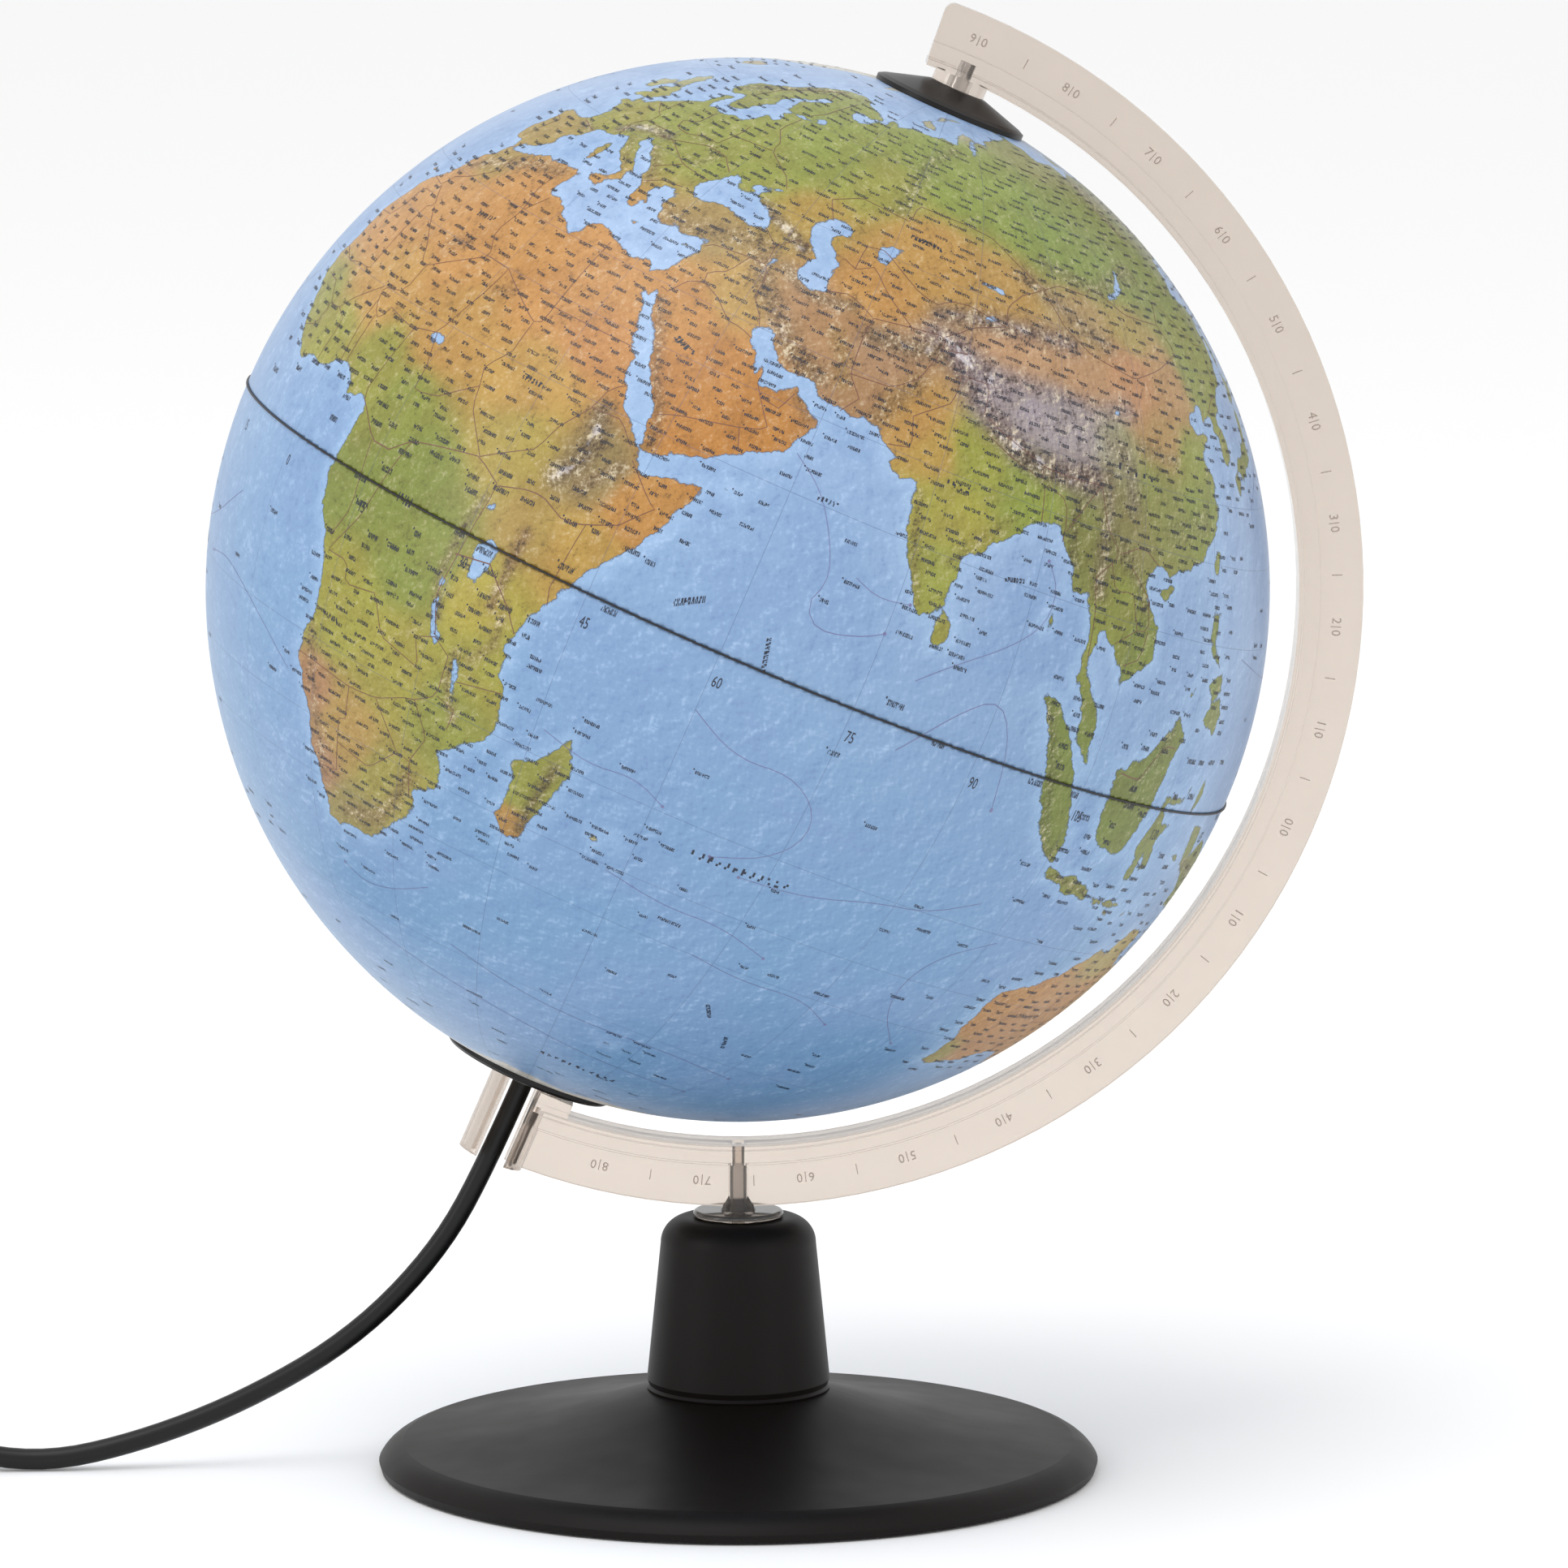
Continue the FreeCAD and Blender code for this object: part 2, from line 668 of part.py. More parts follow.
# ---------------------------------------------------------------- inline switch
switch_centre = V(switch_end - switch_length / 2, switch_line, 0)
switch_split = switch_height / 2
rocker_axis_height = switch_height - rocker_drop


def rounded_block(length, width, low, high, corner):
    block = Part.makeBox(length, width, high - low, V(-length / 2, -width / 2, low))
    upright = [e for e in block.Edges if abs(e.Length - (high - low)) < 1e-6
               and abs(e.Vertexes[0].Z - e.Vertexes[-1].Z) > 1e-6]
    return block.makeFillet(corner, upright)


def switch_place(shape):
    shape = shape.copy()
    shape.translate(switch_centre)
    return shape


def cord_entries():
    return Part.makeCylinder(cord_radius + slide_gap, switch_length + 2,
                             V(-switch_length / 2 - 1, 0, switch_split), V(1, 0, 0))


def at_screws(radius, low, high):
    """Two rods at the switch's screws, in opposite corners."""
    along = switch_length / 2 - switch_pillar_inset
    across = switch_width / 2 - switch_wall - switch_screw_head - slide_gap
    rods = []
    for side in (-1, 1):
        upright = rod(radius, low, high)
        upright.translate(V(side * along, side * across, 0))
        rods.append(upright)
    return rods


def switch_shell(low, high, inside_low, inside_high, edges_at, fillet):
    """Half of the switch's housing, rounded at its foot or its crown."""
    outer = rounded_block(switch_length, switch_width, low, high, switch_corner)
    rim = [e for e in outer.Edges
           if abs(e.BoundBox.ZMin - edges_at) < 0.01 and abs(e.BoundBox.ZMax - edges_at) < 0.01]
    outer = outer.makeFillet(fillet, rim)
    inner = rounded_block(switch_length - 2 * switch_wall, switch_width - 2 * switch_wall,
                          inside_low, inside_high, switch_corner - switch_wall)
    return outer.cut(inner)


def make_switch_lower():
    body = switch_shell(0, switch_split, switch_wall, switch_split + 1, 0, switch_foot_round)
    body = body.fuse(at_screws(switch_pillar_radius, switch_wall / 2, switch_split))
    body = body.cut(at_screws(switch_screw_radius + slide_gap, -1, switch_split + 1))
    body = body.cut(at_screws(switch_screw_head + slide_gap, -1, switch_screw_sink))
    return switch_place(body.cut(cord_entries()).removeSplitter())


def make_switch_upper():
    ceiling = switch_height - switch_wall
    body = switch_shell(switch_split, switch_height, switch_split - 1, ceiling,
                        switch_height, switch_crown_round)
    body = body.fuse(at_screws(switch_pillar_radius, switch_split, ceiling + switch_wall / 2))
    body = body.cut(at_screws(switch_screw_radius + running_gap, switch_split - 1, switch_screw_tip))
    opening_width = rocker_width + 2 * rocker_side_gap
    opening_length = rocker_length + 2 * rocker_end_gap
    cheek_length, cheek_width = rocker_cheek
    for low_y in (-opening_width / 2 - cheek_width, opening_width / 2):
        body = body.fuse(Part.makeBox(cheek_length, cheek_width, ceiling - switch_split + switch_wall / 2,
                                      V(-cheek_length / 2, low_y, switch_split)))
    window = Part.makeBox(opening_length, opening_width, switch_height,
                          V(-opening_length / 2, -opening_width / 2, switch_split - 1))
    body = body.cut([window, rocker_pin_rod(rocker_pin_radius), cord_entries()])
    return switch_place(body.removeSplitter())


switch_screw_tip = switch_height - switch_wall - rocker_side_gap * 2


def rocker_pin_rod(radius):
    """The rocker's pin, with its ends in the cheeks."""
    reach = rocker_width / 2 + rocker_side_gap + rocker_cheek[1]
    return Part.makeCylinder(radius, 2 * reach, V(0, -reach, rocker_axis_height), V(0, 1, 0))


def make_rocker():
    """Rocker with two shallow faces, resting with its +X end pressed."""
    half = rocker_length / 2
    rise = half * math.tan(math.radians(rocker_half_travel))
    middle_top = rocker_drop + rocker_stand
    skirt = half - 1.2
    keel = 3.0
    profile = [(-half, middle_top + rise), (0, middle_top), (half, middle_top + rise),
               (skirt, -0.6), (keel, -2.4), (-keel, -2.4), (-skirt, -0.6)]
    points = [V(x, -rocker_width / 2, z) for x, z in profile]
    body = Part.Face(Part.makePolygon(points + points[:1])).extrude(V(0, rocker_width, 0))
    bore = Part.makeCylinder(rocker_pin_radius + running_gap, rocker_width + 2,
                             V(0, -rocker_width / 2 - 1, 0), V(0, 1, 0))
    body = body.cut(bore)
    body.rotate(ORIGIN, V(0, 1, 0), rocker_half_travel)
    body.translate(V(0, 0, rocker_axis_height))
    return switch_place(body)


def make_switch_screws():
    head_low = switch_screw_sink - switch_foot_round
    shanks = at_screws(switch_screw_radius, head_low, switch_screw_tip - slide_gap)
    heads = at_screws(switch_screw_head, head_low, switch_screw_sink)
    return switch_place(Part.makeCompound([s.fuse(h).removeSplitter() for s, h in zip(shanks, heads)]))


def make_switch_contacts():
    """Blades that stand on the switch's floor on each side of the rocker."""
    length, width, height, sheet = 9.0, 4.0, 2.6, 0.6
    near = 8.0
    blades = []
    for side in (-1, 1):
        foot = Part.makeBox(length, width, sheet,
                            V(side * (near + length / 2) - length / 2, -width / 2, switch_wall))
        riser = Part.makeBox(sheet, width, height,
                             V(side * (near + sheet / 2) - sheet / 2, -width / 2, switch_wall))
        blades.append(foot.fuse(riser).removeSplitter())
    return switch_place(Part.makeCompound(blades))


# ---------------------------------------------------------------- plug
def plug_place(shape):
    """From a plug that points along +Y from the origin to its place on the table."""
    shape = shape.copy()
    shape.translate(V(plug_line, plug_start, plug_height))
    return shape


def oval_section(width, height, along):
    corner = min(width, height) / 2 * 0.96
    block = Part.makeBox(width, 1, height, V(-width / 2, along, -height / 2))
    lengthwise = [e for e in block.Edges if abs(e.Length - 1) < 1e-6
                  and abs(e.Vertexes[0].Y - e.Vertexes[-1].Y) > 0.5]
    rounded = block.makeFillet(corner, lengthwise)
    face = min(rounded.Faces, key=lambda f: f.CenterOfMass.y)
    return face.OuterWire


def make_plug_body():
    neck = plug_relief_length
    sections = [oval_section(plug_neck_width, plug_neck_height, neck),
                oval_section(plug_body_width * plug_waist_width, plug_body_height * plug_waist_height,
                             neck + plug_body_length * plug_waist_share),
                oval_section(plug_body_width, plug_body_height, neck + plug_body_length)]
    body = Part.makeLoft(sections, True, False)
    body = body.fuse(Part.makeCone(cord_radius + relief_start, cord_radius + relief_end, neck + 1.0,
                                   V(0, 0, 0), V(0, 1, 0)))
    grooves = []
    outside = cord_radius + 2 * relief_end
    for k in range(relief_grooves):
        start = V(0, 3.0 + k * (neck - 5.0) / relief_grooves, 0)
        ring = Part.makeCylinder(outside, relief_groove_width, start, V(0, 1, 0))
        core = Part.makeCylinder(cord_radius + relief_start * 0.6, relief_groove_width, start, V(0, 1, 0))
        bridge = Part.makeBox(relief_bridge, relief_groove_width, 2 * outside,
                              start + V(-relief_bridge / 2, 0, -outside))
        grooves.append(ring.cut(core).cut(bridge))
    return plug_place(body.cut(grooves).cut(pin_roots(running_gap)).removeSplitter())


def pin_roots(extra):
    """Thin ends of the pins, held in the plug's body."""
    start = plug_relief_length + plug_body_length - pin_root - extra
    return [Part.makeCylinder(pin_root_radius + extra, pin_root + extra,
                              V(side * pin_spacing / 2, start, 0), V(0, 1, 0)) for side in (-1, 1)]


def make_plug_pins():
    start = plug_relief_length + plug_body_length
    end = start + pin_length
    pins = []
    for side, root in zip((-1, 1), pin_roots(0)):
        pin = Part.makeCylinder(pin_radius, pin_length, V(side * pin_spacing / 2, start, 0), V(0, 1, 0))
        tip = [e for e in pin.Edges if e.BoundBox.YMin > end - 1e-3]
        pins.append(pin.makeFillet(pin_tip_round, tip).fuse(root).removeSplitter())
    return plug_place(Part.makeCompound(pins))


# ---------------------------------------------------------------- write the nodes
save("base_shell", make_base_shell())
save("ballast_disc", tube(ballast_radius, ballast_hole, cover_top + 0.2, cover_top + 0.2 + ballast_thickness))
save("base_cover", make_cover())
save("felt_pad", rod(cover_radius, 0, felt_thickness))
save("base_screws", make_cover_screws())
save("stem", make_stem())
save("tie_screw", make_tie_screw())
save("tie_washer", tube(tie_washer_radius, tie_screw_radius + slide_gap, tie_head_top,
                        tie_head_top + tie_washer_thickness))
save("meridian_arm", make_arm())
save("pivot_pin", on_globe_axis(rod(pivot_radius, pivot_top - pivot_length, pivot_top)))
save("thrust_washer", on_globe_axis(tube(thrust_washer_radius, journal_radius + running_gap, -journal_foot,
                                         -journal_foot + thrust_washer_thickness)))

save("northern_hemisphere", make_hemisphere(1, north_hole))
save("southern_hemisphere", make_hemisphere(-1, south_hole))
save("equator_ring", make_seam_ring())
save("north_cap", make_north_cap())
save("north_lock_ring", make_lock_ring(north_neck_radius, 1))
save("south_ring", make_south_ring())
save("south_lock_ring", make_lock_ring(south_neck_radius, -1))

save("holder_nipple", on_globe_axis(tube(nipple_radius, nipple_bore_radius, nipple_low, nipple_high)))
save("nipple_nut", on_globe_axis(hexagon(nipple_nut_flats, nut_low, nut_high).cut(
    rod(nipple_radius + running_gap, nut_low - 1, nut_high + 1))))
save("lamp_holder_body", make_holder_body())
save("holder_insulator", make_insulator())
save("holder_thread_shell", make_thread_shell())
save("holder_centre_contact", make_centre_contact())
save("cord_grip", make_cord_grip())
save("lamp_cap", make_lamp_cap())
save("lamp_tip", make_lamp_tip())
save("lamp_glass", make_lamp_glass())

coil = make_coil()
plug = make_plug_body()
save("cord_hanging", cord_tube(hanging_route, "cord_hanging"))
save("cord_to_coil", cord_tube(turn_route, "cord_to_coil"))
save("cord_coil", coil)
save("cord_to_plug", cord_tube(plug_route, "cord_to_plug").cut([coil, plug]))
save("switch_lower", make_switch_lower())
save("switch_upper", make_switch_upper())
save("switch_rocker", make_rocker())
save("rocker_pin", switch_place(rocker_pin_rod(rocker_pin_radius)))
save("switch_screws", make_switch_screws())
save("switch_contacts", make_switch_contacts())
save("plug_body", plug)
save("plug_pins", make_plug_pins())
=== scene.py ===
# %% [markdown]
# # A lit desktop globe on a clear meridian arm
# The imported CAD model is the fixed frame: it gives every part's size and place, and which parts move
# together. This script gives those parts their finishes and adds the fine work that CAD leaves out:
# the printed map, the degree scale and the cord. Every Blender object is in metres in the CAD's frame.

# %% Load the frame
import json
import math
import random

import bmesh
import bpy
import numpy as np
from mathutils import Matrix, Vector
from mathutils.kdtree import KDTree


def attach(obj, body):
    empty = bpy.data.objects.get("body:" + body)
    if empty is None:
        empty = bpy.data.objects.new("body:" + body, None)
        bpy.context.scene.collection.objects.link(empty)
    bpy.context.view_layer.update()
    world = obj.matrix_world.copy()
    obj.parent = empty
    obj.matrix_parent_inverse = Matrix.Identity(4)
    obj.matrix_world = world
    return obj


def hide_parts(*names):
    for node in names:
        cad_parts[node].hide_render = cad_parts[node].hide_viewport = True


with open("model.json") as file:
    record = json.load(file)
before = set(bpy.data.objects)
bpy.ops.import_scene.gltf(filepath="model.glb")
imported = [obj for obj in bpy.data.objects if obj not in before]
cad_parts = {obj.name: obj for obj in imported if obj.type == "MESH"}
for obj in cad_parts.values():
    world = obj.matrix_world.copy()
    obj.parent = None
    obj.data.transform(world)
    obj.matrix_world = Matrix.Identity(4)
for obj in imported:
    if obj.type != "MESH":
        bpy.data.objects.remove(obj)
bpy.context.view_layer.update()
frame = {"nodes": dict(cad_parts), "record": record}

MM = 0.001
scene = bpy.context.scene
print("CAD nodes:", len(frame["nodes"]))

# %% [markdown]
# ## The camera
# The globe is seen from the front, a little from above, with a long lens from well back, so that the
# ball hardly bulges. On a sensor 36 mm wide, a 227 mm lens at this distance lets the object, from the
# base's edge to the arm's tip, nearly fill the square frame. The cord runs out of it on the left.

# %% Camera
CAMERA_DISTANCE = 2.400
CAMERA_HEIGHT = 0.5245
CAMERA_PITCH = 0.1462       # radians, looking down
CAMERA_YAW = 0.0047         # radians, towards +X
CAMERA_LENS = 227.0         # mm on a 36 mm sensor

camera_data = bpy.data.cameras.new("front_camera")
camera_data.lens = CAMERA_LENS
camera_data.sensor_width = 36.0
camera = bpy.data.objects.new("front_camera", camera_data)
camera.location = (0.0, -CAMERA_DISTANCE, CAMERA_HEIGHT)
camera.rotation_euler = (math.radians(90) - CAMERA_PITCH, 0.0, -CAMERA_YAW)
scene.collection.objects.link(camera)
scene.camera = camera
print("camera", tuple(round(value, 3) for value in camera.location), "lens", CAMERA_LENS)

# %% [markdown]
# ## Helpers for finishes
# Colours are written as the sRGB hex values that a paint chart gives, and one function turns them to
# the linear values that the renderer works in. A second function adds one shader node with its settings
# and its links, so that each material below reads as a list of what it is made of.

# %% Colour and node helpers
def linear(code):
    """sRGB hex colour to linear RGBA."""
    channels = [int(code[k:k + 2], 16) / 255.0 for k in (1, 3, 5)]
    return [c / 12.92 if c <= 0.04045 else ((c + 0.055) / 1.055) ** 2.4 for c in channels] + [1.0]


def add_node(material, kind, inputs=None, **settings):
    """Add a node: settings are its properties, inputs are values or other nodes' outputs."""
    tree = material.node_tree
    node = tree.nodes.new(kind)
    for name, value in settings.items():
        setattr(node, name, value)
    for socket, value in (inputs or {}).items():
        if isinstance(value, bpy.types.NodeSocket):
            tree.links.new(value, node.inputs[socket])
        else:
            node.inputs[socket].default_value = value
    return node


def new_material(name, **inputs):
    """A material with one Principled shader, whose plain values are set on its own sockets."""
    material = bpy.data.materials.new(name)
    material.use_nodes = True
    material.node_tree.nodes.clear()
    shader = add_node(material, "ShaderNodeBsdfPrincipled",
                      {key.replace("_", " "): value for key, value in inputs.items()})
    add_node(material, "ShaderNodeOutputMaterial", {"Surface": shader.outputs["BSDF"]})
    return material, shader


def link(material, output, shader, socket):
    material.node_tree.links.new(output, shader.inputs[socket])


def dress(material, *nodes):
    """Give CAD nodes a finish."""
    for name in nodes:
        materials = frame["nodes"][name].data.materials
        materials.clear()
        materials.append(material)


def place_piece(name, bm, material, body, replaced=()):
    """Turn a bmesh into a smooth finished piece that rides on a body."""
    mesh = bpy.data.meshes.new(name)
    bm.to_mesh(mesh)
    bm.free()
    mesh.materials.append(material)
    mesh.shade_smooth()
    piece = bpy.data.objects.new(name, mesh)
    scene.collection.objects.link(piece)
    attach(piece, body)
    if replaced:
        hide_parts(*replaced)
    print(name, len(mesh.polygons), "faces")
    return piece


print("black enamel as linear", [round(c, 4) for c in linear("#1B1918")])

# %% [markdown]
# ## The cord
# A mains cord is a fixed length of something flexible. It leaves the lamp holder through the arm's split
# tube, hangs down to the table, runs to an inline switch, and its spare length is put away in a small
# round coil with the plug beside it. One NURBS spline of order 3 through listed control points
# gives the smooth bends that a rubbery sheath takes. The coil's turns come from a loop.

# %% Cord route
CORD_RADIUS = 2.6 * MM
EXIT = Vector((-51.440, 0.0, 100.704)) * MM
NEXT_ON_AXIS = Vector((-61.408, 0.0, 77.777)) * MM
hanging = [(-73.8, 0.3, 54.8), (-94.6, -0.4, 33.2), (-120.8, -0.8, 17.6), (-147.6, -1.6, 7.0),
           (-173.2, -3.0, 1.5), (-198.0, -4.0, 6.5)]
SWITCH_FAR_END = (-250.0, -4.0, 6.5)
turning = [(-266.5, -4.2, 4.2), (-280.9, 4.3, 2.7), (-289.2, 18.7, 2.7), (-289.4, 34.5, 2.6)]
to_plug = [(-284.1, 71.5, 7.6), (-284.0, 84.0, 6.95)]
COIL_CENTRE = (-253.0, 50.0)
coil_turns = [(36.2, 2.6), (31.0, 2.6), (25.8, 2.6), (20.6, 2.6), (23.2, 7.1), (28.4, 7.1),
              (33.6, 7.1), (31.0, 11.6)]
POINTS_PER_TURN = 16
EASE_FROM = 0.75        # the share of a turn after which it moves to the next one's place


def coil_points():
    """Clockwise turns seen from above, each easing into the next radius and layer."""
    points = []
    for turn, (radius, height) in enumerate(coil_turns):
        next_radius, next_height = coil_turns[min(turn + 1, len(coil_turns) - 1)]
        for k in range(POINTS_PER_TURN):
            share = k / POINTS_PER_TURN
            ease = max(0.0, (share - EASE_FROM) / (1.0 - EASE_FROM))
            here = radius + (next_radius - radius) * ease
            angle = math.pi - 2 * math.pi * share
            points.append((COIL_CENTRE[0] + here * math.cos(angle), COIL_CENTRE[1] + here * math.sin(angle),
                           height + (next_height - height) * ease))
    return points


cord_points = [EXIT, NEXT_ON_AXIS] + [Vector(p) * MM for p in hanging + [SWITCH_FAR_END] + turning]
cord_points += [Vector(p) * MM for p in coil_points() + to_plug]
print("cord has", len(cord_points), "control points,", len(coil_turns), "coil turns")

# %% [markdown]
# The sheath is black PVC, extruded smooth and then slightly matted by handling. It gives the eye one
# soft grey highlight along its length, so it is nearly black, fairly rough, with the default IOR of
# plastic and the finest grain that still shows.

# %% Cord sheath finish
def grainy_plastic(name, colour, roughness, grain_mm, depth, gloss=0.4):
    """A moulded or extruded plastic with a fine pebbled skin."""
    material, shader = new_material(name, Base_Color=linear(colour), IOR=1.5, Specular_IOR_Level=gloss)
    place = add_node(material, "ShaderNodeTexCoord").outputs["Object"]
    grain = add_node(material, "ShaderNodeTexNoise",
                     {"Vector": place, "Scale": 1.0 / (grain_mm * MM), "Detail": 3.0})
    wear = add_node(material, "ShaderNodeTexNoise", {"Vector": place, "Scale": 1.0 / (14 * MM)})
    polish = add_node(material, "ShaderNodeMapRange",
                      {"Value": wear.outputs["Fac"], "To Min": roughness - 0.05, "To Max": roughness + 0.07})
    bump = add_node(material, "ShaderNodeBump",
                    {"Height": grain.outputs["Fac"], "Strength": depth, "Distance": 0.1 * MM})
    link(material, polish.outputs["Result"], shader, "Roughness")
    link(material, bump.outputs["Normal"], shader, "Normal")
    return material


black_pvc_sheath = grainy_plastic("extruded_black_pvc", "#0F0E0E", 0.38, 0.8, 0.10, 0.3)
black_pvc_moulding = grainy_plastic("moulded_black_pvc", "#121111", 0.46, 0.9, 0.25)
black_abs = grainy_plastic("spark_textured_black_abs", "#111010", 0.42, 0.7, 0.30)
dress(black_abs, "switch_lower", "switch_upper", "switch_rocker")
dress(black_pvc_moulding, "plug_body")
print("cord finishes:", black_pvc_sheath.name, black_abs.name, black_pvc_moulding.name)

# %% Cord
curve = bpy.data.curves.new("mains_cord", "CURVE")
curve.dimensions = "3D"
curve.bevel_depth = CORD_RADIUS
curve.bevel_resolution = 5
curve.use_fill_caps = True
spline = curve.splines.new("NURBS")
spline.points.add(len(cord_points) - 1)
for point, place in zip(spline.points, cord_points):
    point.co = (*place, 1.0)
spline.order_u = 3
spline.use_endpoint_u = True
spline.resolution_u = 6
curve.materials.append(black_pvc_sheath)
mains_cord = bpy.data.objects.new("mains_cord", curve)
scene.collection.objects.link(mains_cord)
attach(mains_cord, "stand")
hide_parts("cord_hanging", "cord_to_coil", "cord_coil", "cord_to_plug")

# %% [markdown]
# ## The world map, drawn as outlines
# The ball carries a printed physical map. The real print is artwork on a flat sheet that is formed into
# a half ball. It could be a picture wrapped round the ball, but drawing it from its outlines keeps it
# sharp at any size and asks for no image. Each coast below is a closed list of longitude and latitude,
# in degrees, with only the points that its shape needs. Fine roughness is added later by noise.

# %% Coasts of Africa, Europe and Asia
def route(text):
    """Longitude and latitude pairs from a line of text."""
    numbers = [float(word) for word in text.replace(",", " ").split()]
    return list(zip(numbers[0::2], numbers[1::2]))


land = {}
land["africa"] = route("""
    -17.5,14.7 -16.5,16 -16.3,19 -17,21 -15.9,23.8 -14.4,26.2 -13.1,27.7 -11.1,28.8 -9.8,30 -9.7,31.4
    -8.5,33.3 -6.8,34.1 -5.9,35.8 -4.7,35.2 -3,35.3 -0.6,35.7 1.2,36.5 3.1,36.8 5.1,36.7 7.4,37
    9.8,37.3 11,37 10.6,35.8 10.1,34.3 11.1,33.2 13.2,32.9 15.2,32.4 15.8,31.3 17.5,30.8 19,30.3 20,31
    20.1,32.2 21.7,32.9 23.1,32.6 24.9,31.8 27.3,31.2 29,30.9 30,31.3 31.1,31.6 32.3,31.2 32.5,29.9
    33.2,28.5 33.9,27.1 35.6,24 35.6,23 37.2,21 37.3,19.3 38.6,18 39.4,15.6 41.2,14.6 42.5,13.2
    43.3,12.2 43.2,11.5 45,10.5 47,11.1 49,11.3 51.3,11.8 51,10.4 50,8 48,4.5 45.4,2 42.6,-0.4
    41.5,-1.8 40.2,-2.7 39.6,-4.2 38.8,-6.2 39.5,-7.2 39.4,-8.8 40.5,-10.5 40.6,-12.6 40.7,-15
    39.8,-16.4 37,-17.9 34.9,-19.9 35.5,-21.6 35.5,-23.9 33,-25.2 32.6,-26 32.9,-27.3 32.4,-28.6
    31,-29.9 29,-32 27.8,-33.1 25.7,-34 22.5,-34.1 20,-34.8 18.4,-34.2 18.2,-32 17.3,-30.3 16.4,-28.6
    15.2,-26.7 14.5,-22.9 12.8,-19.8 11.8,-17.3 12.2,-15.2 13.6,-12.2 13.2,-8.8 12.3,-6 11.8,-4.7
    9.6,-2.4 8.8,-0.7 9.4,0.8 9.7,3 9.5,4 8.6,4.7 7,4.4 5.9,4.4 5,5.8 3.6,6.4 1.2,6.1 -0.2,5.5
    -2.1,4.8 -4,5.2 -7.5,4.4 -9.5,5.6 -11.4,6.9 -13.2,8.8 -14.8,10.9 -16.7,12.4 -16.6,13.5""")
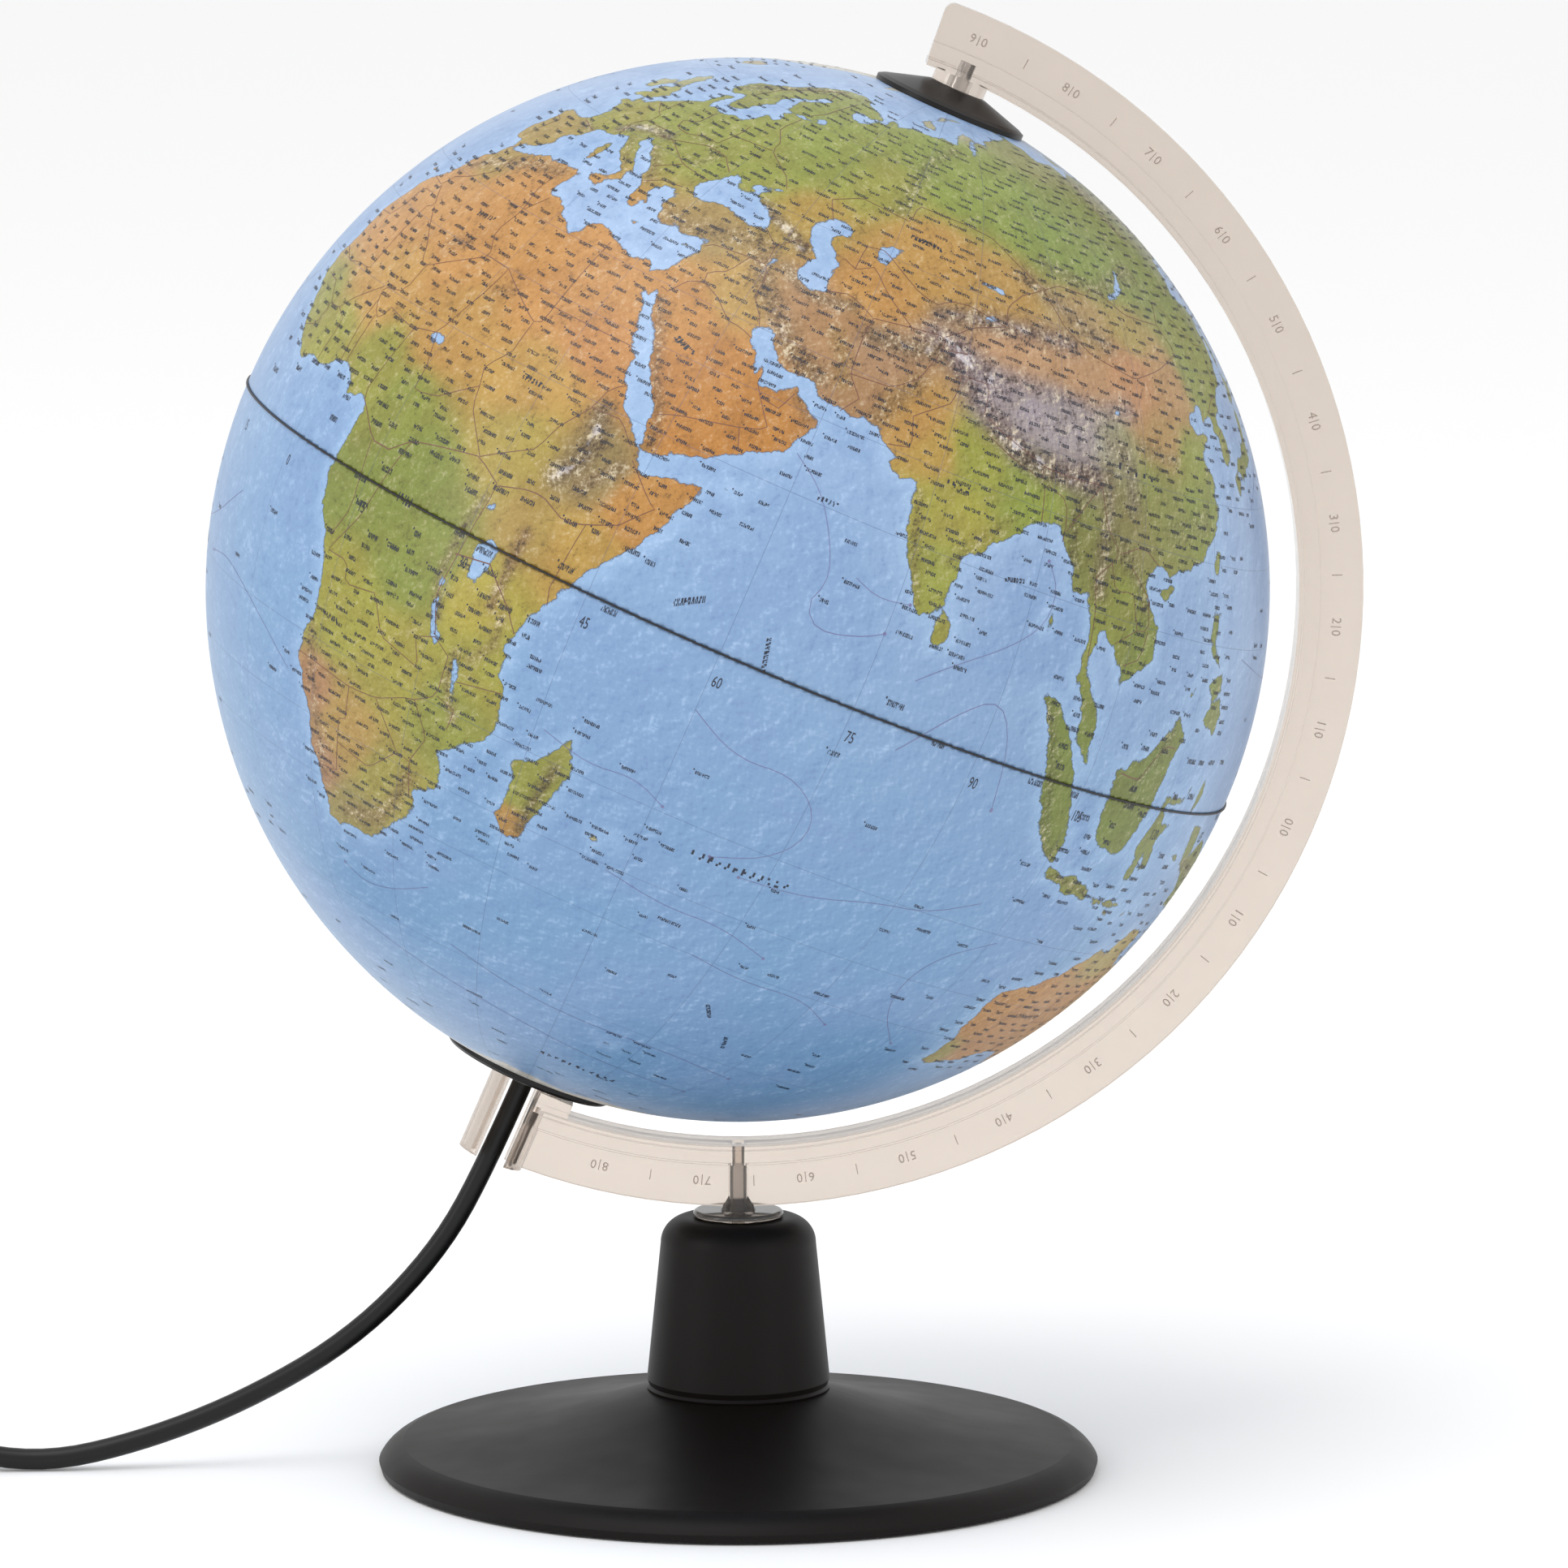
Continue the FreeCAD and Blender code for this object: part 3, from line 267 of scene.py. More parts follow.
land["eurasia"] = route("""
    32.5,31.1 34.2,31.3 34.9,32.8 35.8,34.6 35.8,36 36,36.8 34.6,36.6 32.5,36.1 30.7,36.8 29,36.3
    27.3,37 26.4,38.3 26.2,39.5 27.5,40.4 29,41.1 31.5,41.3 33.3,42 35.1,42 36.9,41.3 38.5,41
    41.5,41.5 41.3,42.7 39.5,43.6 37.8,44.7 36.8,45.3 38,46.6 39.3,47.2 37,46.9 35,46.3 34.8,45.8
    36.5,45.3 35.3,45 33.6,44.4 32.6,45.4 33.4,46 31.8,46.6 30.8,46.5 29.7,45 28.6,43.8 27.9,42.8
    28.1,41.6 28.9,41.1 27.2,40.7 26.1,40.3 25.8,40.8 24,40.7 23.8,40 22.8,40.5 22.9,39.3 24,38.2
    24,37.7 23,37.9 23.1,36.5 22.4,36.5 21.7,36.9 21.2,37.8 21.1,38.4 20,39.7 19.4,40.4 19.5,41.8
    18.2,42.6 16,43.5 14.9,45 13.9,44.8 13.6,45.6 12.4,45.4 12.4,44.3 13.6,43.6 14.3,42.4 16.2,41.8
    16.5,41.3 18.5,40.1 17,40.5 16.6,39.7 17.2,39 16.5,38.4 15.7,37.9 15.9,38.6 15.7,40 14.3,40.8
    12.3,41.7 10.5,42.9 9.8,44.1 8.8,44.4 7.5,43.7 6.2,43.1 4.8,43.4 3.2,43.1 3.2,42.3 2.2,41.3
    0.7,40.7 -0.3,39.4 0.2,38.7 -0.7,37.6 -2.1,36.7 -4.4,36.7 -5.6,36 -6.5,36.8 -8.9,37 -9.4,38.7
    -8.8,41 -9.2,43 -8,43.7 -4,43.4 -1.7,43.4 -1.2,45 -1.2,46.2 -2.5,47.4 -4.7,48.3 -3.2,48.8
    -1.6,48.7 -1.9,49.7 0.2,49.6 1.6,50.8 3.3,51.4 4.6,52.5 5.4,53.2 7.1,53.6 8.7,53.9 8.2,55.5
    8.3,57 10.6,57.7 10.3,56.4 9.8,55.2 10.2,54.4 11,54 12.5,54.4 14.2,53.9 16.5,54.5 18.5,54.7
    19.8,54.4 21.1,55.5 21.4,57.3 22.6,57.6 24.2,57.1 24.4,58.3 23.5,59.1 24.8,59.5 28,59.6 30,59.9
    28,60.5 25,60.2 22.6,60 21.4,61.2 21.4,63 24.7,64.8 24.4,65.7 22.2,65.6 21.3,64.4 18.5,62.8
    17.3,61.5 17.4,60.6 18.9,59.9 17.9,58.9 16.5,57.4 16,56.2 14.3,55.5 12.9,55.6 12.5,56.5
    11.8,57.8 11,59 10.5,59.4 9.5,58.8 7.5,58 5.6,58.8 5.1,60.5 5.2,62 7.2,63 9.8,64 11.6,65.1
    13.1,66.5 14.6,68 16.5,69 19,70 22.5,70.7 25.8,71.1 28.5,71 31,70.3 33.5,69.4 37.5,68.5 41,67.6
    41.1,66.7 38.5,66.1 34.5,66.6 32.8,66.8 34.8,64.5 37.6,63.9 40,64.7 40,65.7 42.3,66.4 44,66.1
    43.4,68.4 45.9,68.2 46.5,67 50,68.1 54,68.4 60.3,68.8 61,69.7 65,69.3 67,69.6 66.8,71.3
    69.5,72.9 72.6,72.7 72,71 73.4,68.2 74,70.5 75,72.6 80.5,72 80.5,73.5 87,75 95,76.1 104.3,77.7
    108,76.6 113.5,75.6 112,74 118,73.3 123.5,73.4 127,73.4 129.5,71.2 133,71.5 140,72.4 150,71.4
    160,69.8 170,69.8 176,69.8 180,68.9 190.2,66.1 187,64.4 181,66 177.7,64.6 179.4,62.5 174,61.7
    170,60 164.5,59.9 163,58 162,56.2 161.8,54.9 159.8,53 156.8,51 155.7,53.5 155.6,56.6 158,58.3
    161.8,60.7 163.6,62.4 160,61.6 156.5,61.5 154.5,59.5 150,59.4 143.5,59.3 139,57.4 135.3,54.8
    137.5,53.8 141.3,53.2 140.5,50.5 140.3,48.5 138.5,46.7 135.5,44 132,43.1 130.6,42.3 129.7,41
    127.5,39.8 127.6,39.2 129,37.5 129.4,36 129.1,35.2 126.5,34.4 126.5,36.5 126.6,37.7 125,38
    125.2,39.4 124.3,39.9 121.6,38.9 122,40.5 121,40.8 118,39.2 117.8,38.4 119,37.3 120.8,37.8
    122.6,37.2 120.5,36.2 119.3,35 120.4,33.8 121.9,31.8 121,30.5 121.9,29.6 121.2,28.3 119.7,26.2
    118.2,24.5 116.5,23.1 114.3,22.3 111.8,21.6 110.5,21.2 110.2,20.4 109.7,21.4 108.2,21.6
    106.6,20.4 105.8,19 107,17 108.8,15.3 109.3,13 109.1,11.6 107.2,10.4 106.6,9.4 104.8,8.6
    104.9,10.2 103.5,10.7 102.6,12 101,12.7 100.9,13.4 100,13.3 99.9,11.8 99.3,9.5 100.4,8.3
    101,6.9 102.2,6.2 103.4,4.5 103.5,2.7 104.1,1.4 102.9,1.8 101.3,2.9 100.5,5 100.2,6.4 98.4,7.9
    98.6,10 98.6,12.5 97.7,15.5 97.1,16.8 95.5,15.8 94.3,16 94.6,18.5 92.4,20.6 91.8,22.4
    90.5,22.2 88.5,21.7 87,21.3 86.8,20.3 85.2,19.4 82.3,16.6 80.3,15.5 80.3,13.3 79.9,11.5
    79.9,10.3 79,9.3 78.1,8.8 77.5,8.1 76.3,9.9 75,12.5 74,15 73,17.5 72.8,19.2 72.7,21.2 72,21.2
    70.8,20.8 69.1,22.2 70.3,22.9 68.5,23.4 67.4,24 66.6,24.9 64.5,25.3 61.6,25.1 58.5,25.6
    57,26.8 54.5,26.6 52.5,27.5 50.9,28.9 50.1,30.1 48.8,30.2 48.1,29.6 48.5,28.3 49.7,27
    50.1,25.6 50.8,24.8 51.1,26.1 51.6,25.2 51.6,24.3 54,24.2 56.1,26.1 56.4,24.8 58.6,23.6
    59.8,22.5 58.5,20.4 57.8,19 56.6,18.3 55.3,17.4 52.2,15.7 49,14.3 45,12.8 43.5,12.7 42.8,15
    42.6,16.8 41,19 39.1,21.4 38.5,23.6 37.2,25 35.2,28 34.9,29.5 34.3,27.8 33.3,28.8 32.6,29.9""")
print("Africa", len(land["africa"]), "points, Eurasia", len(land["eurasia"]), "points")

# %% Coasts of the Americas, Australia and the poles
land["north_america"] = route("""
    -168,65.6 -162,66.5 -166.5,68.3 -160,70.6 -156.6,71.3 -150,70.5 -141,69.6 -135,69.3 -128,70.2
    -121,69.7 -115,68.2 -108,68 -102,67.8 -95.5,68.3 -94,71.5 -90.5,69 -86,67.8 -87,65.5 -94,61.5
    -94.7,58.8 -92,57 -85,55.2 -82.3,53 -80.5,51.3 -79,52 -79,55 -77,57.5 -78.3,60 -77.5,62.4
    -73,62 -69.7,60.5 -67.5,58.4 -64.6,60.2 -62,57 -57.5,54.5 -55.8,52.5 -59,50.5 -66,50.2
    -70.5,47.2 -65,49.1 -64.5,46.5 -61,45.4 -66,43.6 -66.8,44.8 -70.4,43.3 -70.7,41.8 -74,40.6
    -75.4,39 -75.9,37.2 -75.6,35.3 -78.5,33.8 -81.3,31.6 -80.1,26.8 -81,25.2 -82.7,28 -83.8,30
    -86.5,30.4 -89.4,30.2 -90.5,29.2 -94,29.6 -97.2,27.8 -97.6,24 -97.2,20.7 -95.2,18.7 -92,18.6
    -90.4,21 -87,21.5 -88,18 -88.7,15.9 -84,15.8 -83.4,12.5 -83.6,10.9 -81.4,8.9 -79.6,9.5
    -77.4,8.5 -78.1,7.5 -80.2,7.4 -82.8,8.2 -85.7,10 -87.6,12.9 -92.2,14.5 -96.5,15.7 -101.7,17.7
    -105.5,20.3 -106.2,23.2 -109.3,25.8 -112.3,29 -114.7,31.6 -112.5,27.5 -109.5,23.1 -112.2,25.9
    -115,28.3 -117.1,32.5 -120.6,34.6 -122.5,37.7 -124.3,40.4 -124.1,46.2 -123,49 -127.5,50.8
    -130.5,54.5 -134,58 -139.7,59.6 -146,60.9 -151.5,59.5 -153.5,57.5 -158.2,56.3 -163,54.7
    -158,58.3 -162,58.7 -165.5,61.2 -161,64.4 -166,64.5""")
land["greenland"] = route("""
    -73,78.2 -65,81 -45,82.4 -31,83.5 -20,82 -18,77.5 -20,74 -22.5,70.6 -31,68.2 -39,65.6 -43,60.1
    -48,61 -52.5,65.5 -53.5,68.5 -54.5,71 -58,75 -67,76""")
land["south_america"] = route("""
    -77.4,8.6 -75,11 -71.7,12.4 -70,11.6 -64,10.5 -61,9.5 -57,6 -51.5,4.5 -50,0.5 -47.5,-0.8
    -44,-2.6 -39,-3.3 -35.2,-5.4 -34.9,-8.3 -37.2,-11.2 -39,-14.5 -39.3,-18 -41,-21.9 -44.5,-23
    -48.5,-25.8 -48.7,-28.5 -52.3,-33 -54.9,-35 -58.4,-34 -57,-36.5 -58,-38.3 -62.2,-39.2 -65,-41
    -65.5,-45 -67.6,-46.2 -66,-48 -69,-50.5 -68.3,-52.4 -65.2,-54.7 -70,-55.5 -74.5,-52.5
    -75.5,-46.7 -73,-41.8 -73.6,-37.2 -71.6,-33 -71.5,-30 -70.2,-20 -76,-14 -79.5,-8 -81.3,-4.6
    -80,-2.6 -80.5,0 -78.5,2.5 -77.4,4.2 -77.6,7.2""")
land["australia"] = route("""
    114.1,-22 113.5,-24.5 114,-27 115,-30.5 115.7,-33.3 115.1,-34.3 118,-35 120.5,-33.9 123.9,-33.8
    126,-32.3 131,-31.5 134.2,-32.8 135.7,-34.9 137.8,-32.8 138.1,-35.5 140,-37.5 143.6,-38.8
    146.4,-39 150,-37.4 151.3,-33.5 153,-31 153.5,-28.1 152.5,-25 150.7,-23.2 149,-20.5 146.4,-19
    145.4,-15 143.8,-14.2 142.5,-10.8 141.6,-13 140.9,-17.4 138.5,-16.8 135.6,-15 136.8,-12.2
    132.8,-11.4 130.8,-12.5 129.4,-14.9 126.9,-13.9 124.4,-16.3 122.2,-18 119,-20 116.7,-20.7""")
land["antarctica"] = route("""
    -180,-87 -158,-87.5 -150,-80 -137,-77.3 -115,-76.5 -100,-77.5 -80,-75.5 -68,-70 -58,-65.8 -61,-69.5
    -61,-76.5 -75,-80.5 -60,-84.5 -40,-81 -28,-78.5 -15,-75 0,-72.3 20,-72.5 40,-71.5 50,-68.9 70,-71
    77,-72 88,-69 110,-68.7 130,-68.7 145,-69.5 160,-72.5 171,-74.5 164,-80.5 180,-87 180,-89.5 -180,-89.5""")

# %% Islands
islands = """
    -5.7,50.1 -3.5,50.4 -1.2,50.7 1.4,51.2 0.7,51.6 1.7,52.7 0.2,53 -0.2,54 -1.6,55.2 -2.7,56.2 -2,57.5 \
        -4,57.8 -3.1,58.6 -5,58.6 -5.8,57.2 -5.4,55.8 -4.9,54.8 -3.2,54.8 -3,53.6 -4.6,53.2 -4.2,52.3 \
        -5.2,51.8 -3.2,51.4 -4.5,51
    -6.1,53.4 -6.3,52.2 -9.8,51.5 -9.2,53.2 -10,54.2 -8.2,54.6 -7.3,55.3 -5.6,54.6
    -22.6,63.9 -18.5,63.4 -14,64.8 -14.8,66.3 -20.5,66 -22.2,66.4 -24.2,65.5 -22.2,64.9
    8.4,39 9.6,39.2 9.7,41 9.4,42.9 8.6,42.2 8.2,40.8
    12.5,37.9 13.5,37 15.1,36.7 15.5,38.2 13.8,38.1
    23.6,35.3 26.2,35.1 24.7,34.9
    32.4,34.8 34,35 34.4,35.7 33,35.3
    2.4,39.6 3.3,39.8 3,39.3
    51.7,71.5 53.5,70.8 57.5,70.7 56,73.2 61,75.2 68.8,76.7 65,76.9 57.5,75.6 54,73.5
    15,79.7 11,79 16,76.7 21.5,78.2 27,80.1 20,80.6
    95.8,79 100,78 105,79 99,80.8 93.5,80
    179,70.9 182,71.3 180,71.7
    138,74 144,73.3 150,75 142,75.9
    142,54.2 143,49.3 144.6,48.9 142.9,46.2 141.9,46 142,50 141.8,52.5
    140,41.5 141,41.8 143.2,42 145.4,43.3 144.3,44 141.7,45.4 141.3,43.2 139.9,42.5
    130.9,33.9 132.7,34 133.4,33.5 135.7,33.5 136.9,34.6 138.8,34.7 140.8,35.7 140.9,38 142,39.6 141.3,41.4 \
        140.2,40.6 139.8,38.8 138.5,37.3 136.8,37.3 136,35.8 133,35.5
    129.7,33.2 131,33.8 131.9,33 131,31.2 130.2,31.3
    121,25.1 121.9,25 120.8,22 120.1,23.1
    108.7,19.2 110.5,20.1 111,19.7 109.5,18.2
    79.9,8.1 80.2,9.7 81.3,8.5 81.8,7.3 80.6,5.9 79.9,6.8
    49.3,-12 50.5,-15.5 49.5,-18 47.2,-24.8 45.1,-25.6 43.6,-23.4 44.4,-20 44,-17 46.3,-15.7 48,-13.5
    95.3,5.6 97.5,5.2 100.3,2.8 103,0.6 104.5,-1.5 106,-3.1 105.8,-5.8 104,-5.2 101.3,-3 99,0.2 97,2.9
    105.2,-6.8 106,-5.9 108.5,-6.7 110.9,-6.4 112.7,-6.9 114.4,-7.7 114.4,-8.6 110,-8.1 106.5,-7.4
    115,-8.2 119,-8.3 122.9,-8.2 122.7,-8.7 119,-8.9 116,-8.9
    123.6,-10.3 127,-8.4 125,-9
    119.4,-9.5 120.8,-10 120,-9.3
    109,1.7 109.2,-0.5 110.2,-2.9 114.5,-3.9 116.2,-3.2 117.5,0.8 117.9,3.9 119.2,5.1 117,6.9 115.4,5.3 \
        113,3.2 111.3,2.5 110,1.8
    119.5,-5.5 118.8,-2.8 120,0.8 123.5,0.9 125,1.6 124.3,0.4 120.6,0.4 121.5,-0.9 123.3,-0.8 121.9,-1.8 \
        122.8,-4.2 121.6,-4.7 120.9,-2.8 120.4,-5.6
    120.3,16 120.7,18.5 122.2,18.4 121.6,15.8 122.4,14.2 124.1,12.7 122.5,13.4 120.7,13.8
    122,7 123.4,8.6 125.4,9.8 126.4,8 125.6,5.7 124,6.7
    122,10.5 123,11.5 125,12.4 125.2,10.4 123.3,9.2
    117.2,8.4 119.3,11.2 118.4,9.4
    127.4,0 128.6,1.2 128,2.2 127.6,1
    128,-3.2 130.8,-3.4 129,-2.9
    131,-0.8 134.2,-0.9 135,-3.3 138,-1.7 141,-2.6 145,-4.3 147.8,-6.1 147.2,-7 150.8,-10.3 147,-9.5 \
        144,-7.7 142.5,-9.2 138,-8.3 138.5,-6.7 135.5,-4.5 133,-4 132,-2.8
    148.5,-5.6 152,-4.3 151,-6
    155,-6 160,-9 159,-9.3
    164.1,-20.2 167,-22.3 165,-21.4
    144.7,-40.8 148.3,-40.9 148,-43 146.5,-43.6 145.3,-42.5
    172.7,-34.5 175.5,-36.6 178.5,-37.8 177,-39.5 175.2,-41.6 173.8,-39.3 174.8,-38
    172.7,-40.6 174.2,-41.5 172.8,-43.8 170.6,-46 168.4,-46.6 166.5,-46 168.5,-44 171.3,-42
    69,-49 70.4,-49.3 69.3,-49.6
    53.3,12.5 54.5,12.6 54,12.3
    55.2,-21 55.8,-21.2 55.4,-21.3
    57.3,-20.1 57.8,-20.3 57.5,-20.5
    92.7,11.6 93,13.5 92.9,11.7
    -16.9,28.2 -15.4,28 -16.2,28.5
    -84.9,21.9 -81,23.1 -76.5,21.2 -74.2,20.2 -77.5,19.9 -78,20.8 -81.8,22.2
    -74.4,18.5 -73,19.9 -69.9,19.6 -68.4,18.6 -71.2,17.8
    -78.3,18.3 -76.2,18.1 -77.5,17.8
    -67.2,18.4 -65.7,18.3 -66.8,18
    -59.3,47.8 -56.5,51.5 -55.5,49.5 -52.8,47.5 -54.5,46.9
    -128.3,50.7 -125,50.1 -123.5,48.4 -126,49
    -61,-51.8 -58,-51.5 -60,-52.2
    -65,61.8 -73,64.4 -77.5,65 -73.5,68 -79,70 -88,71 -89,73.5 -80,73.7 -72,71.5 -67,69 -62,66.6 -64,63.5
    -117,69.8 -105,68.8 -102,70 -105,73 -115,73.3 -118,71.5
    -125,71.5 -120,71.5 -117,73.5 -124,74.3
    -100,73 -95,72 -91,73.5 -96,74.1
    -92,76.4 -80,74.6 -80,76 -90,77
    -78,76.2 -87,77.5 -87,80.3 -92,81.5 -70,83 -62,82.4 -76,79
    -97,80 -92,80.5 -88,79 -95,78.5
    -155.9,20.2 -155,19.5 -155.8,19"""
for number, line in enumerate(islands.strip().splitlines()):
    land[f"island_{number:02d}"] = route(line)

# %% Lakes and inland seas
lakes = [route(line) for line in """
    49,46.5 51.5,46.9 53.1,46.4 53,45.3 51,44.8 50.3,44.3 51.3,43.2 52.6,42.5 52.5,41.7 53.8,41.2 53,40 \
        53.7,39 53.9,37.2 52,36.7 50.3,37.4 49,37.7 48.9,38.5 49.5,40.2 50.3,40.4 49.3,41.2 48.4,42.2 \
        47.5,43 47,44.8
    58.3,45.6 59.5,46.6 61.5,46.5 61,45 60,43.8 58.4,43.8
    31.7,-0.3 33,0.4 34.2,0 34,-1.2 33,-2.6 31.8,-2.4
    30,61 31.5,61.5 32.9,60.8 31.5,59.9
    34.7,62.5 36.2,62.2 35.7,60.9
    -92.1,46.7 -88.5,48.6 -86,48.6 -84.6,46.6 -87.5,46.6
    -87.8,42 -86.2,42.2 -85.5,45 -86.8,45.7 -88,44
    -84.5,46 -81.2,46 -79.8,44.7 -82.4,43 -83.5,44
    -83.3,41.6 -79,42.8 -81,42.6
    -79.7,43.4 -76.3,43.6 -77,44
    -99,53.5 -97.5,53 -96.5,50.6 -98.5,51.5
    -125,66.5 -118,67 -118.5,65.3 -123,65
    -117,61 -110,62.5 -109.5,62.7 -113,61.2""".strip().splitlines()]
narrow_waters = [           # width in degrees, then the water's middle line
    (0.55, route("29.3,-3.4 29.6,-6.2 31,-8.7")), (0.55, route("34.1,-9.6 34.4,-12 35,-14.3")),
    (0.35, route("36,4.4 36.1,3.2 36.5,2.6")), (0.35, route("30.6,1.4 31.3,2.1")),
    (0.8, route("13.6,13.2 14.6,13.2")), (0.45, route("73.8,45.6 75.5,46.7 79,46.6")),
    (0.6, route("104,51.6 107,52.6 109.5,55.4")), (0.35, route("76.4,42.3 78.2,42.5")),
    (0.35, route("43,38.6 43.3,38.8")), (0.35, route("45.3,37.6 45.5,38.1")),
    (0.4, route("-70,-15.4 -69,-16.3")), (0.4, route("90.2,41 91,40.6")),
    (0.45, route("100,36.9 100.6,36.8"))]
print(len(land), "coasts,", sum(len(c) for c in land.values()), "points,", len(lakes), "lakes")

# %% [markdown]
# A physical map tints the land by climate and height. The climate zones here are soft spots of colour
# that blend into each other, and the ranges are strokes along their crests that darken and roughen the
# land. Each zone is longitude, latitude, reach in degrees and colour.

# %% Climate zones
zones = [
    (-8, 24, 11, "#D89C58"), (8, 26, 11, "#D89A54"), (25, 25, 10, "#D5944C"), (32, 21, 6, "#D08A44"),
    (0, 16, 8, "#D2A052"), (15, 15, 8, "#CC9A4E"), (28, 14, 7, "#CDA04A"), (-4, 33, 4, "#B49A4C"),
    (-12, 10, 6, "#9AA040"), (-3, 8, 6, "#A2A63E"), (8, 8, 6, "#9CA23C"), (30, 8, 6, "#B8A444"),
    (15, 6, 6, "#8C9C3A"), (20, 1, 8, "#7C9236"), (25, -3, 7, "#84983A"), (12, -1, 5, "#7E943A"),
    (40, 9, 5, "#9A8656"), (46, 7, 5, "#D2944A"), (43, 2, 5, "#C8A04A"), (36, 2, 4, "#B89A4C"),
    (34, -4, 5, "#BCB03E"), (37, -9, 6, "#A8A83C"), (17, -10, 7, "#A9AA3C"), (26, -13, 7, "#AEAA3E"),
    (35, -16, 6, "#94A03A"), (15, -20, 4, "#B8845C"), (17, -28, 4, "#B0805C"), (22, -23, 6, "#BE9A4C"),
    (28, -26, 6, "#A8A242"), (24, -32, 5, "#9A9048"), (46, -19, 4, "#96A03A"), (45, -24, 3, "#C09048"),
    (45, 22, 8, "#CE8636"), (50, 18, 7, "#CC8434"), (40, 28, 6, "#CE8C40"), (44, 32, 5, "#C8A050"),
    (35, 39, 5, "#B09458"), (-4, 40, 5, "#B29A4E"), (2, 47, 6, "#A4A648"), (12, 50, 7, "#96A444"),
    (15, 61, 7, "#94A24A"), (28, 52, 8, "#96A442"), (40, 57, 10, "#90A440"), (28, 64, 7, "#8EA24A"),
    (47, 46, 5, "#C0A048"), (55, 55, 8, "#A0A642"), (66, 48, 9, "#CC9A4C"), (78, 47, 7, "#C89C50"),
    (60, 40, 6, "#D49A50"), (54, 34, 6, "#C09068"), (64, 33, 6, "#B88C6C"), (62, 28, 5, "#B88A66"),
    (70, 28, 5, "#CC9A4E"), (74, 25, 4, "#C6A044"), (79, 26, 5, "#A4AE3C"), (87, 25, 5, "#94AC3C"),
    (77, 19, 5, "#B0AE38"), (78, 13, 5, "#9EAA36"), (81, 7, 2, "#A0A436"), (83, 33, 5, "#A9A0B4"),
    (91, 33, 6, "#ACA4B0"), (99, 33, 4, "#ABB07E"), (82, 39, 6, "#D8A882"), (93, 40, 6, "#CFA07A"),
    (105, 42, 7, "#D2986E"), (113, 42, 6, "#C89A68"), (95, 47, 6, "#BC9E6A"), (106, 47, 5, "#B4A058"),
    (110, 36, 5, "#C09A60"), (116, 34, 5, "#98A844"), (117, 29, 5, "#8CA042"), (108, 28, 6, "#8E9A4C"),
    (103, 25, 5, "#8C8C52"), (97, 21, 5, "#7E8A40"), (102, 16, 5, "#8E9E3C"), (107, 13, 4, "#7E963A"),
    (125, 45, 7, "#8EA040"), (138, 36, 5, "#7E943E"), (70, 61, 12, "#8AA63C"), (95, 60, 12, "#7E9E3A"),
    (120, 62, 12, "#7C963C"), (145, 65, 12, "#82925A"), (165, 65, 10, "#8C9470"), (105, 73, 8, "#9CA872"),
    (102, 0, 6, "#74903A"), (113, 0, 6, "#708C38"), (122, -2, 5, "#7A9040"), (140, -5, 7, "#6E8C3A"),
    (122, 12, 6, "#7C9440"), (110, -7, 4, "#86963A"), (118, -24, 6, "#C88A40"), (126, -29, 7, "#C4843C"),
    (134, -24, 7, "#CC8C44"), (132, -15, 5, "#B2A048"), (143, -22, 6, "#BE9C4C"), (148, -31, 5, "#98A248"),
    (116, -33, 3, "#A69C48"), (173, -42, 5, "#8CA05A"), (-41, 72, 14, "#E6EAEC"), (-90, 76, 12, "#C8CABE"),
    (-100, 62, 12, "#94A866"), (-80, 55, 10, "#86A244"), (-120, 58, 9, "#7E9A48"), (-152, 65, 9, "#8C9C58"),
    (-100, 48, 8, "#B4A850"), (-85, 40, 8, "#94A646"), (-103, 37, 6, "#C0A054"), (-113, 38, 6, "#BC9660"),
    (-104, 27, 6, "#C6964E"), (-90, 17, 5, "#829A3E"), (-77, 20, 4, "#86A03C"), (-62, -4, 10, "#74943A"),
    (-52, -8, 7, "#86983C"), (-42, -9, 5, "#B8A048"), (-50, -18, 7, "#9CA444"), (-58, -28, 6, "#A6A846"),
    (-65, -36, 6, "#C0A450"), (-69, -46, 6, "#BC9456"), (-71, -22, 4, "#C69060"), (-66, 6, 5, "#9AA442"),
    (0, -85, 25, "#EDF0F2"), (90, -80, 18, "#EDF0F2"), (-90, -82, 18, "#EDF0F2"), (180, -84, 18, "#EDF0F2"),
    (15, 79, 5, "#D8DAD4"), (60, 75, 6, "#C6CABA"), (-19, 65, 4, "#B4AE94")]

